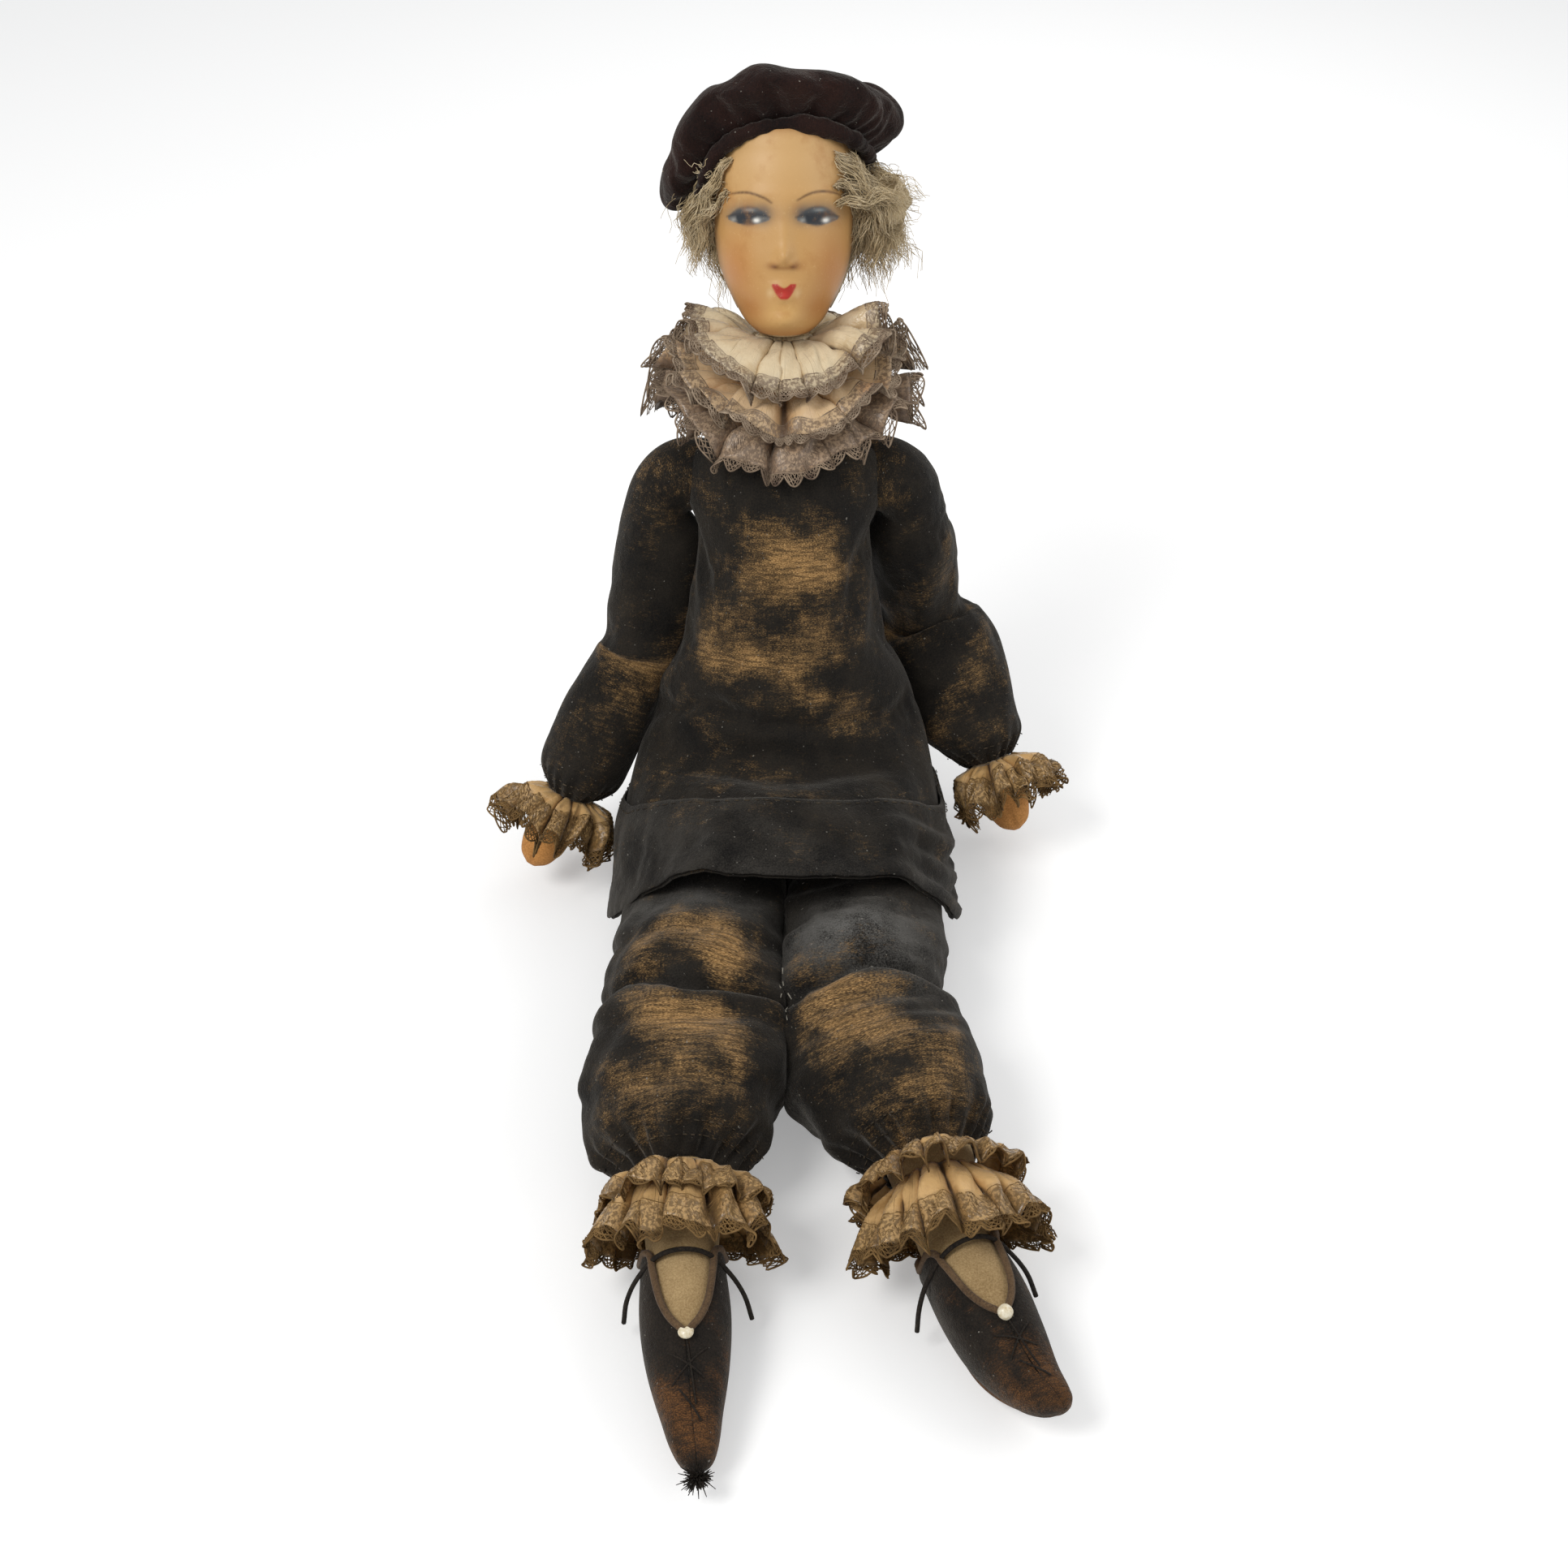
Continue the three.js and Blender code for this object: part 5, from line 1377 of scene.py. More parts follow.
# %% Stitch tree
def stitch_tree():
    """Short straight stitches along every line: one each Spacing, of uneven size."""
    tree, source, lines = start_tree("stitches", Spacing="Float", Length="Float", Radius="Float")
    steps = tree.nodes.new("GeometryNodeCurveToPoints")
    steps.mode = "LENGTH"
    stitch = tree.nodes.new("GeometryNodeMeshCylinder")
    stitch.inputs["Vertices"].default_value = 6
    uneven = tree.nodes.new("FunctionNodeRandomValue")
    uneven.data_type = "FLOAT_VECTOR"
    uneven.inputs["Min"].default_value = (0.8, 0.8, 0.6)
    uneven.inputs["Max"].default_value = (1.2, 1.2, 1.2)
    uneven.inputs["Seed"].default_value = 12
    laid = tree.nodes.new("GeometryNodeInstanceOnPoints")
    link = tree.links.new
    link(lines, steps.inputs["Curve"])
    link(source["Spacing"], steps.inputs["Length"])
    link(source["Length"], stitch.inputs["Depth"])
    link(source["Radius"], stitch.inputs["Radius"])
    link(steps.outputs["Points"], laid.inputs["Points"])
    link(steps.outputs["Rotation"], laid.inputs["Rotation"])
    link(stitch.outputs["Mesh"], laid.inputs["Instance"])
    link(uneven.outputs["Value"], laid.inputs["Scale"])
    return end_tree(tree, source, laid.outputs["Instances"])


STITCH = stitch_tree()
STITCH_SHARE = 0.5  # length of a stitch, as a share of the step
STITCH_RADIUS = 0.32
sewing = {
    "dark": thread_finish("dark_sewing_thread", (30, 25, 20), (92, 80, 64)),
    "pale": thread_finish("pale_sewing_thread", (96, 90, 80), (188, 182, 168)),
}
for name, (bodies, lines, spacing, tone, run) in SEAMS.items():
    seam = add_lines(name, [(line, 1.0, closed) for line, closed in lines])
    sizes = {"Spacing": spacing * MM, "Length": spacing * STITCH_SHARE * MM, "Radius": STITCH_RADIUS * MM}
    grow(seam, STITCH, Material=sewing[tone].material, **sizes)
    if run:
        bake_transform(seam)
    else:
        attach(seam, *bodies)
    print(name, len(seam.data.polygons), "faces")

# %% [markdown]
# ## Collar
# Three tiers of silk stand on a band round the neck, each with lace on its edge. The lower ones spread
# over the shoulders and the upper one stands up round the chin. They are one rule with three sets of
# sizes, so a loop makes them.

# %% Collar tiers
BAND_RADIUS = 23.6
COLLAR_SEAT = BAND_RADIUS + 1.0
# A tier is its seat's radius and height, its edge's half width, front and back depth, the edge's heights at
# the side, in front and behind, its pleats, their depth, and the share of its reach where the lace ends.
COLLAR = {
    "lower": (COLLAR_SEAT, 8, (67, 45, 50), (16, -19, -9), 16, 3.0, 1.17),
    "middle": (COLLAR_SEAT, 19, (61, 46, 47), (35, 0, 10), 15, 3.0, 1.15),
    "upper": (15.5, 42, (51, 45, 41), (49, 18.5, 40), 13, 2.8, 1.15),
}
LACE_START = {"lower": 0.5, "middle": 0.76, "upper": 0.82}
SEEDS = {"lower": 2, "middle": 5, "upper": 9}
NECK_RUN = {
    "start": tuple(BODY((0, 0, NECK_BASE + 12)) * MM),
    "end": tuple(BODY((0, 0, NECK_BASE + 40)) * MM),
}


def follow(piece, body, with_neck=False):
    """Ties a piece to a body. With the neck, its points are only baked in place and it is tied to nothing."""
    if with_neck:
        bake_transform(piece)
    else:
        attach(piece, body)


def declare_ruffle(piece, body, node, with_neck=False):
    """Hides the part that a strip stands for and ties it to what it rides on."""
    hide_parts(node)
    follow(piece, body, with_neck)


def trimming(name, ruffle, cloth, thread, lace_share, body, node, lace_node, with_neck=False):
    """A silk ruffle with its lace edging, which lies between two shares of its reach."""
    lace_from, lace_to = lace_share
    piece, flat = silk_strip(f"{name}_silk", ruffle, cloth, lace_from)
    lace = lace_edging(f"{name}_edging", ruffle, lace_from, lace_to, thread)
    if lace_node:
        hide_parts(lace_node)
    follow(lace, body, with_neck)
    declare_ruffle(piece, body, node, with_neck)
    print(name, "strip", [round(v) for v in flat], "mm")


for tier, (seat_radius, seat_height, edge, heights, pleats, depth, lace_end) in COLLAR.items():
    ruffle = Ruffle(
        BODY, even_rim(seat_radius, NECK_BASE + seat_height), rim(*edge, *[NECK_BASE + h for h in heights]),
        pleats, depth, SEEDS[tier], arch=3.0, ragged=0.08, crush=2.0, valley=0.13, flute=1.5)
    thread = mauve_lace if tier == "lower" else collar_lace
    trimming(f"collar_{tier}", ruffle, collar_silks[tier], thread, (LACE_START[tier], lace_end), "torso",
             f"collar_{tier}_tier", f"collar_{tier}_lace", tier == "upper")

BAND_ROWS = 16
BAND_COLUMNS = 96
BAND_TALL = 44.0
BAND_THICK = 1.4
BAND_TOP_RADIUS = 14.8  # the band is drawn in to the neck under the upper tier
band_turn = around(BAND_COLUMNS)[None]
band_heights = np.linspace(0.4, BAND_TALL, BAND_ROWS)[:, None]
drawn_in = rise(band_heights, 28, BAND_TALL)
band_size = BAND_RADIUS - 0.8 + (BAND_TOP_RADIUS - BAND_RADIUS) * drawn_in + 0.5 * np.cos(40 * band_turn)
band_level = NECK_BASE + band_heights + 0 * band_turn
rows = np.stack([band_size * np.cos(band_turn), band_size * np.sin(band_turn), band_level], -1)
faces, corners = grid(BAND_ROWS, BAND_COLUMNS)
uv = cloth_uv(rows, BAND_ROWS, BAND_COLUMNS, corners)
fold = np.full(BAND_ROWS * BAND_COLUMNS, 0.3)
flat = BODY(rows.reshape(-1, 3))
band_piece = add_mesh("collar_neck_band", flat, faces, collar_silks["upper"], uv, {"fold": fold})
finish_piece(band_piece, BAND_THICK)
declare_ruffle(band_piece, "torso", "collar_band", True)

# %% [markdown]
# ## Cuffs
# Each wrist has one ruffle and each ankle two, all of tan silk with brown lace. The ankle ruffles are
# short under the heel, where the leg rests.

# %% Wrist and ankle ruffles
WRIST = 10.4
WRIST_EDGE = 27
WRIST_REACH = 20
ANKLE = 20
HEEL_SHARE = 0.55
WRIST_LACE = (0.45, 1.3)
# A tier is its seat along the leg, its seat's radius, its half width, its depths above and below, its reach,
# how much further it goes over the instep, and the shares where its lace starts and ends.
ANKLE_TIERS = {
    "upper": (88, ANKLE + 1.2, 37, 34, 29, 19, 5, 0.5, 1.1),
    "lower": (91, ANKLE, 41, 31, 24, 29, 9, 0.66, 1.18),
}
ANKLE_FLARE = {"left": 4.0, "right": 1.0}  # how far the upper ruffle stands up from the leg

for name, side in SIDES.items():
    place = PLACES[name]["lower"]
    edge = even_rim(WRIST_EDGE, -FOREARM - WRIST_REACH)
    ruffle = Ruffle(place, even_rim(WRIST + 1.6, -FOREARM), edge, pleats=11, depth=3.8, seed=21 + side,
                    arch=4.0, ragged=0.14, crush=3.2, valley=0.2)
    trimming(f"{name}_wrist", ruffle, cuff_silk, cuff_lace, WRIST_LACE, f"{name}_forearm",
             f"{name}_wrist_ruffle", f"{name}_wrist_lace")
    place = PLACES[name]["shin"]
    for tall, (tier, sizes) in enumerate(ANKLE_TIERS.items()):
        seat_along, radius, width, up, down, reach, over, *lace_share = sizes
        seat_along = seat_along - LEG_SHORT[name] * (tier == "upper")
        end = -seat_along - reach
        under = -seat_along - HEEL_SHARE * reach
        flare = ANKLE_FLARE[name] * (tier == "upper")
        edge = rim(width + 0.3 * flare, up + 0.7 * flare, down, end + flare, end - over + 1.4 * flare, under)
        ruffle = Ruffle(place, even_rim(radius + 0.7, -seat_along), edge, pleats=14, depth=3.0,
                        seed=31 + 3 * side + tall, arch=2.6, ragged=0.08, crush=2.2, valley=0.18)
        lace_node = f"{name}_ankle_lace" if tier == "lower" else None
        trimming(f"{name}_ankle_{tier}", ruffle, cuff_silk, cuff_lace, lace_share, f"{name}_lower_leg",
                 f"{name}_ankle_{tier}_ruffle", lace_node)

# %% [markdown]
# ## Stuffed limbs and body
# Under the clothes the doll is muslin filled with straw and wadding. Most of it is hidden, but it holds
# the clothes up and shows at the neck and the instep. Each part is a smooth closed loft.

# %% Muslin, felt and leather
def woven(name, light, dark, scale=900):
    """A plain dull cloth in two tones."""
    cloth = Finish(name, 0.9, 0.2, Sheen_Weight=0.1)
    grain = cloth.noise(scale, 3)
    clouds = cloth.noise(60, 4)
    tone = cloth.weigh(grain, 0.6, clouds, 0.4)
    cloth.colour(cloth.ramp(tone, (0.32, dark), (0.66, light)))
    cloth.bump(grain, 0.0005, 0.6)
    return cloth


muslin = woven("body_muslin", (196, 172, 132), (150, 122, 84))
instep_felt = woven("instep_felt", (184, 156, 112), (132, 106, 68), 1300)
hand_felt = woven("hand_felt", (214, 152, 86), (150, 98, 48), 1100)
sole_leather = Finish("sole_leather", 0.6, 0.4)
sole_leather.colour(sole_leather.ramp(sole_leather.noise(120, 5), (0.3, (58, 38, 24)), (0.7, (112, 80, 52))))
sole_leather.bump(sole_leather.noise(700, 3), 0.0004)
print("muslin, felt and leather mixed")

# %% Stuffed pieces
STUFFED_FILL = 0.9
CORE_COLUMNS = 40
core_turn = around(CORE_COLUMNS)


def limb_rows(stations, place, step=3.0):
    """Rows of a limb's form, from stations along it."""
    rings = [place(oval_ring(core_turn, -along, *sizes)) for along, *sizes in stations]
    return loft(rings, step)[0]


def stuffed_piece(name, lofts, finish, body, node, slot="body_cloth"):
    """One padded piece from one or more closed lofts."""
    points = []
    faces = []
    uv = []
    for rows in lofts:
        first = len(points)
        count, columns = rows.shape[:2]
        made, corners = grid(count, columns)
        faces.extend(tuple(first + int(i) for i in face) for face in made)
        uv.append(cloth_uv(rows, count, columns, corners))
        points.extend(rows.reshape(-1, 3))
    uv = np.concatenate(uv)
    first = 0
    for rows in lofts:
        count, columns = rows.shape[:2]
        last = first + (count - 1) * columns
        faces.append(tuple(range(first, first + columns)))
        faces.append(tuple(range(last + columns - 1, last - 1, -1)))
        first = last + columns
    piece = add_mesh(name, on_floor(points), faces, finish, uv)
    declare(piece, slot, body, node, fill=STUFFED_FILL)


UPPER_ARM_CORE = [(-11, 2, 3, 3), (-7, 7.5, 10, 10), (0, 10.5, 14, 14), (16, 12, 15, 15), (55, 13, 15, 15),
                  (82, 11.5, 13.6, 13.6), (96, 9.5, 3, 3)]
FOREARM_CORE = [(2, 9.5, 3, 3), (18, 12.5, 13.2, 13), (50, 13, 13.2, 13), (78, 11, 11, 11),
                (88, 10.2, 10.2, 10.2)]
THIGH_CORE = [(1, 21, 4, 4), (13, 23.5, 15, 12), (35, 27, 22.5, 25), (80, 29, 24, 29), (115, 25, 22, 19),
              (134.4, 18, 4, 4)]
SHIN_CORE = [(2.6, 18, 4, 4), (18, 22, 16, 13), (45, 24, 22, 21), (82, 19.8, 19.8, 19.8), (100, 18, 18, 18),
             (126, 15.5, 15.5, 16.5)]
FOOT_CORE = [(-8, 13, 13.5, 15), (-2, 16, 15.5, 22), (8, 16.6, 15.4, 26), (28, 18, 12.4, 25.6),
             (46, 15.5, 6.6, 25), (56, 8, -1, 20)]
HAND_CORE = [(0, 3, 3, 3), (2.5, 7.4, 6.6, 6.4), (9, 9.6, 7.8, 7.8), (22, 12.2, 8.2, 7.8), (33, 11, 7, 6.6),
             (40, 7.6, 5, 4.8), (43.6, 2.5, 1.8, 1.8)]
HAND_THUMB = 3.2

MUSLIN_LIMBS = {
    "upper_arm": ("upper", UPPER_ARM_CORE),
    "forearm": ("lower", FOREARM_CORE),
    "thigh": ("thigh", THIGH_CORE),
}
NECK = [(-NECK_BASE - 2, 11, 11, 11), (-NECK_BASE - 8, 13, 13, 13), (-NECK_BASE - 30, 13, 13, 13),
        (-CHIN - 4, 12.6, 12.6, 12.6)]

torso_core = torso_rows(TORSO, -0.5).reshape(-1, 3)
torso_core = on_floor(clear_of_hips(on_floor(BODY(torso_core))))
stuffed_piece("muslin_body", [torso_core.reshape(-1, SEAT_COLUMNS, 3)], muslin, "torso", "stuffed_body")
stuffed_piece("muslin_neck", [limb_rows(NECK, BODY)], muslin, "neck", "stuffed_neck")

for name, side in SIDES.items():
    places = PLACES[name]
    for limb, (part, core) in MUSLIN_LIMBS.items():
        rows = limb_rows(core, places[part])
        stuffed_piece(f"{name}_muslin_{limb}", [rows], muslin, f"{name}_{limb}", f"{name}_stuffed_{limb}")
    leg = [limb_rows(SHIN_CORE, places["shin"]), limb_rows(FOOT_CORE, places["foot"], 2.0)]
    stuffed_piece(f"{name}_stocking_leg", leg, instep_felt, f"{name}_lower_leg", f"{name}_stuffed_lower_leg",
                  "stocking")
    flat_hand = limb_rows(HAND_CORE, Place(np.eye(3), (0, 0, 0)), 1.2)
    thumb = np.exp(-((flat_hand[..., 2] + 15) / 7) ** 2) * rise(-side * flat_hand[..., 0], 3, 9)
    flat_hand[..., 0] -= side * HAND_THUMB * thumb
    cleft = np.exp(-(flat_hand[..., 0] / 0.9) ** 2) * rise(-flat_hand[..., 2], 24, 30)
    flat_hand[..., 1] *= 1 - 0.16 * cleft
    rows = places["hand"](flat_hand)
    stuffed_piece(f"{name}_felt_hand", [rows], hand_felt, f"{name}_forearm", f"{name}_hand", "hand_felt")
print("stuffed pieces made")

# %% [markdown]
# ## Slippers
# The slippers are black velvet on a thin leather sole, with a deep almond opening. The toes have worn to
# brown. Each row of the upper is an open ring: it starts at one edge of the opening, goes under the foot
# and comes up to the other edge. A rolled binding then follows that edge.

# %% Slipper form
SHOE_FORM = [(-10.5, 6, 4, 14), (-7.5, 12.5, 11, 20), (-2, 15.8, 15, 23), (8, 16.6, 15, 26),
             (28, 17.6, 12.2, 26), (50, 15.4, 6, 26), (70, 10.8, -3, 25.6), (84, 7.2, -9, 24),
             (91, 4.2, -13, 21), (94, 0.8, -15.8, 17.5)]
SHOE_GROW = 2.2
THROAT_END = 45.0
THROAT = [(-12, 30), (-4, 26), (4, 15.5), (14, 13.2), (24, 11.6), (32, 9.6), (40, 5.4), (THROAT_END, 0.6)]
SHOE_COLUMNS = 72
SHOE_STEP = 1.9
TOE_BEND = {"left": (9.0, -6.0, 10.0), "right": (2.0, 0.0, 0.0)}  # how far the tip goes sideways, up and back
SOLE_FORM = [(-2, 0.6), (3, 8.5), (14, 12), (34, 13), (52, 11.4), (66, 7.4), (77, 3.2), (82, 0.5)]
SOLE_THICK = 2.4
SOLE_ROWS = 44
SOLE_COLUMNS = 24
SHOE_THICK = 1.3
SHOE_GIRTH = 95
BINDING_RADIUS = 1.6

shoe_velvet = velvet("shoe_velvet", (17, 14, 11), (50, 42, 34), (116, 78, 44), (62, 40, 22), sheen=0.25)
binding_cloth = woven("throat_binding", (112, 88, 62), (62, 46, 32), 1200)


def bend_toe(name, points):
    """Turns the toe end of points in the foot's frame."""
    points = np.array(points, float)
    share = np.clip((-points[..., 2] - 38) / 56, 0, 1)[..., None] ** 2
    return points + share * np.array(TOE_BEND[name])


def shoe_rows(name):
    """Rows of the upper in the foot's frame, from one edge of the throat to the other."""
    along = np.arange(SHOE_FORM[0][0], SHOE_FORM[-1][0] + 0.1, SHOE_STEP)
    width, up, down = smooth_table(SHOE_FORM, along).T
    fade = 1 - 0.6 * rise(along, 84, 94)
    width = width + SHOE_GROW * fade
    up = up + SHOE_GROW * fade
    down = down + 0.6
    half = np.where(along < THROAT_END, smooth_table(THROAT, along)[:, 0], 0.0)
    heel = 1 - rise(along, -6, 12)
    opening = np.arcsin(np.clip(half / width, 0, 1))
    opening = np.maximum(opening, heel * math.radians(97))
    q = np.linspace(0, 1, SHOE_COLUMNS)[None]
    angle = opening[:, None] + (2 * math.pi - 2 * opening[:, None]) * q
    middle = (down - up)[:, None] / 2
    tall = (down + up)[:, None] / 2
    x = width[:, None] * np.sin(angle)
    lean = np.abs(np.cos(angle)) ** 0.8 * np.sign(np.cos(angle))
    y = middle - tall * lean
    y = np.minimum(y, (down - 0.3)[:, None])
    z = np.broadcast_to(-along[:, None], x.shape)
    rows = bend_toe(name, np.stack([x, y, z], -1))
    tip = rows[-1].mean(0)
    rows[-1] = tip + 0.1 * (rows[-1] - tip)
    return rows, along


def add_sole(name, place):
    """The thin leather under a slipper."""
    along = np.linspace(SOLE_FORM[0][0], SOLE_FORM[-1][0], SOLE_ROWS)
    half = smooth_table(SOLE_FORM, along)
    ring = around(SOLE_COLUMNS)[None]
    edge = np.abs(np.sin(ring)) ** 0.4 * np.sign(np.sin(ring))
    under = smooth_table(SHOE_FORM, along)[:, 2:] + 0.4 + SOLE_THICK / 2
    rows = np.stack([half * np.cos(ring), under + SOLE_THICK / 2 * edge, -along[:, None] + 0 * ring], -1)
    points = on_floor(place(bend_toe(name, rows).reshape(-1, 3)))
    faces = grid(SOLE_ROWS, SOLE_COLUMNS)[0]
    sole = add_mesh(f"{name}_leather_sole", points, faces, sole_leather, ends=SOLE_COLUMNS)
    declare(sole, "sole_leather", f"{name}_lower_leg", f"{name}_shoe_sole")


for name, side in SIDES.items():
    place = PLACES[name]["foot"]
    rows, along = shoe_rows(name)
    wrinkle = 0.5 * ripple(91 + side, along[:, None] / 7, 3 * np.linspace(0, 1, SHOE_COLUMNS)[None] * 6)
    rows[..., 1] += wrinkle * rise(along, 44, 60)[:, None] * (rows[..., 1] < 18)
    faces, corners = grid(len(along), SHOE_COLUMNS, closed=False)
    toe = np.repeat(rise(along, 46, 74), SHOE_COLUMNS)
    side_wear = np.repeat(rise(along, 0, 30), SHOE_COLUMNS) * 0.12
    wear = 0.12 + side_wear + 0.6 * toe
    wear = wear + 0.22 * ripple(93 + side, rows[..., 0].ravel() / 5, rows[..., 2].ravel() / 9)
    wear = wear - 0.5 * np.repeat(rise(along, 86, 93), SHOE_COLUMNS) * (name == "right")
    uv = np.stack([corners[:, 1] / SHOE_COLUMNS * SHOE_GIRTH, corners[:, 0] * SHOE_STEP], 1) * MM
    points = on_floor(place(rows.reshape(-1, 3)))
    upper = add_mesh(f"{name}_velvet_slipper", points, faces, shoe_velvet, uv, {"wear": wear})
    finish_piece(upper, SHOE_THICK, 1)
    declare(upper, "black_velvet", f"{name}_lower_leg", f"{name}_shoe_upper", fill=0.8)
    open_rows = along < THROAT_END
    edge = np.concatenate([rows[open_rows, 0], rows[open_rows, -1][::-1]])
    lines = [(place(edge + np.array([0, -0.5, 0])), 1.0, True)]
    binding = add_threads(f"{name}_throat_binding", lines, BINDING_RADIUS, binding_cloth, 8)
    declare(binding, "black_cord", f"{name}_lower_leg")
    add_sole(name, place)
    print(name, "slipper", len(points), "points")

# %% [markdown]
# A small bead closes each opening. One is whole and cream coloured; of the other only a broken half is
# left. Threads that once held trimming cross the toes, and one toe ends in a tuft of black bristles.

# %% Beads, crossed threads and tuft
BEAD_RADIUS = 3.4
BEAD_ROWS = 16
BEAD_COLUMNS = 24
BRISTLES = 260
BRISTLE_RADIUS = 0.42
TOE_THREAD_RADIUS = 0.45
TOE_THREADS = ((-9, 52, 8, 62), (9, 51, -9, 64), (0, 47, 3, 72), (-6, 66, 6, 78))  # across and along, twice
BEAD_AT = (0, -12.0, -46.0)
bead_glaze = Finish("bead_glaze", 0.25, 0.5, Coat_Weight=0.3, Coat_Roughness=0.15)
bead_glaze.colour(bead_glaze.ramp(bead_glaze.noise(500, 4), (0.35, (206, 186, 146)), (0.6, (238, 228, 202))))
bead_glaze.bump(bead_glaze.noise(420, 2), 0.0003, 0.5)


def bead_rows(squash, seed):
    """Rows of a slightly uneven ball, which may be flattened."""
    level = np.linspace(0.06, math.pi - 0.06, BEAD_ROWS)[:, None]
    turn = around(BEAD_COLUMNS)[None]
    size = BEAD_RADIUS * (1 + 0.03 * np.sin(3 * turn + seed) * np.sin(2 * level))
    rows = np.stack([size * np.sin(level) * np.cos(turn), size * np.cos(level) * squash,
                     size * np.sin(level) * np.sin(turn)], -1)
    return rows + np.array(BEAD_AT)


for name in SIDES:
    place = PLACES[name]["foot"]
    rows = bead_rows(1.0, 1) if name == "left" else bead_rows(0.62, 4)
    if name == "right":
        rows[..., 2] = np.minimum(rows[..., 2], BEAD_AT[2] + 0.6 + 0.5 * np.sin(rows[..., 0] * 2.2))
    faces = grid(BEAD_ROWS, BEAD_COLUMNS)[0]
    points = place(rows.reshape(-1, 3))
    bead = add_mesh(f"{name}_glass_bead", points, faces, bead_glaze, ends=BEAD_COLUMNS)
    declare(bead, "bead", f"{name}_lower_leg", f"{name}_shoe_bead")
    lines = []
    for start_x, start_a, end_x, end_a in TOE_THREADS:
        s = np.linspace(0, 1, 14)
        run = start_a + (end_a - start_a) * s
        width, up, down = (smooth_table(SHOE_FORM, run) + SHOE_GROW).T
        x = (start_x + (end_x - start_x) * s) * np.clip(width / 19, 0.3, 1)
        top = (down - up) / 2 - (down + up) / 2 * np.sqrt(np.clip(1 - (x / width) ** 2, 0.05, 1)) ** 0.8
        lines.append((place(bend_toe(name, np.stack([x, top - 0.5, -run], 1))), 1.0, False))
    crossed = add_threads(f"{name}_toe_threads", lines, TOE_THREAD_RADIUS, cord_black, 5)
    declare(crossed, "black_cord", f"{name}_lower_leg")

draw = np.random.default_rng(77)
tuft_lines = []
tuft_base = np.array([TOE_BEND["right"][0], 16.0, -92.6])
for _ in range(BRISTLES):
    aim = draw.normal(0, 1, 3) * (1, 0.9, 0.75) + (0, -0.1, -0.35)
    aim = aim / np.linalg.norm(aim)
    reach = draw.uniform(3.5, 6.6) * (1.45 if draw.random() < 0.06 else 1)
    bend = draw.normal(0, 1.0, 3)
    s = np.linspace(0, 1, 5)[:, None]
    line = tuft_base + np.array([0, 0, -3.6]) + aim * reach * s + bend * s * s
    tuft_lines.append((on_floor(PLACES["right"]["foot"](line)), np.linspace(1, 0.4, 5), False))
tuft = add_threads("right_toe_bristles", tuft_lines, BRISTLE_RADIUS, cord_black, 4)
declare(tuft, "black_cord", "right_lower_leg", "right_toe_tuft")
print("beads, threads and", len(tuft_lines), "bristles")

# %% [markdown]
# ## Painted face
# The face is a mask of pressed cloth, sized, painted and varnished. Its relief is low: a narrow nose, a
# small mouth and flat eye sockets. Brows, lids and lips are only paint. The mask is a fine grid on the
# head's form, raised by soft bumps, and the paint is worked out for each point from simple curves.

# %% Face relief
HEAD = [(0, 10, 26, 11), (5, 16, 34, 19), (14, 22, 37.5, 27), (29, 29, 38.5, 34), (49, 33, 38, 38),
        (69, 33.5, 37, 39), (89, 31, 33, 36), (103, 22, 24, 26), (111, 8, 9, 10)]
MASK_LIFT = 2.1
MASK_THICK = 1.5
MASK_TURN = 80
MASK_COLUMNS = 172
MASK_ROWS = 190
NOSE_HIGH, MOUTH_HIGH, EYE_HIGH, BROW_HIGH = 38.0, 23.0, 57.0, 66.0
RELIEF = [  # across, above the chin, half width, half height, lift
    (0, NOSE_HIGH + 1, 4.0, 4.6, 4.2), (0, NOSE_HIGH + 10, 4.4, 9.0, 1.8), (0, NOSE_HIGH + 22, 6.0, 8.0, 0.6),
    (0, MOUTH_HIGH + 2, 6.5, 2.6, 1.5), (0, MOUTH_HIGH - 3, 4.5, 2.4, 1.5), (0, 8, 9, 5.5, 2.2),
]
PAIRED_RELIEF = [  # nostrils, cheeks, sockets, eyeballs and brows, the same on both sides
    (4.2, NOSE_HIGH - 2.5, 2.2, 2.2, 1.5), (19, 36, 10, 10, 1.2), (15.5, EYE_HIGH, 9, 4.5, -1.5),
    (15.5, EYE_HIGH + 0.5, 6.5, 3.0, 1.0), (17, BROW_HIGH + 2, 12, 3.5, 0.9),
]
RELIEF += [(side * across, *sizes) for across, *sizes in PAIRED_RELIEF for side in (1, -1)]
mask_turn = np.radians(np.linspace(-MASK_TURN, MASK_TURN, MASK_COLUMNS))[None]
mask_high = np.linspace(1, 104, MASK_ROWS)
width, front, back = (smooth_table(HEAD, mask_high) + MASK_LIFT).T
x = width[:, None] * np.sin(mask_turn)
y = -front[:, None] * np.cos(mask_turn)
high = np.broadcast_to(mask_high[:, None], x.shape)
lift = sum(d * np.exp(-((x - px) / w) ** 2 - ((high - ph) / h) ** 2) for px, ph, w, h, d in RELIEF)
x = x + lift * 0.15 * np.sin(mask_turn)
y = y - lift
mask_points = np.stack([x, y, high + CHIN], -1).reshape(-1, 3)
print("mask", mask_points.shape[0], "points")

# %% Face paint
px, ph = x.ravel(), high.ravel()


paint = np.tile(np.array(srgb((197, 151, 91))), (len(px), 1))


def brush(share, colour):
    """Lays a colour over the paint, by its share at each point."""
    share = np.clip(share, 0, 1)[:, None]
    paint[:] = paint * (1 - share) + np.array(srgb(colour)) * share


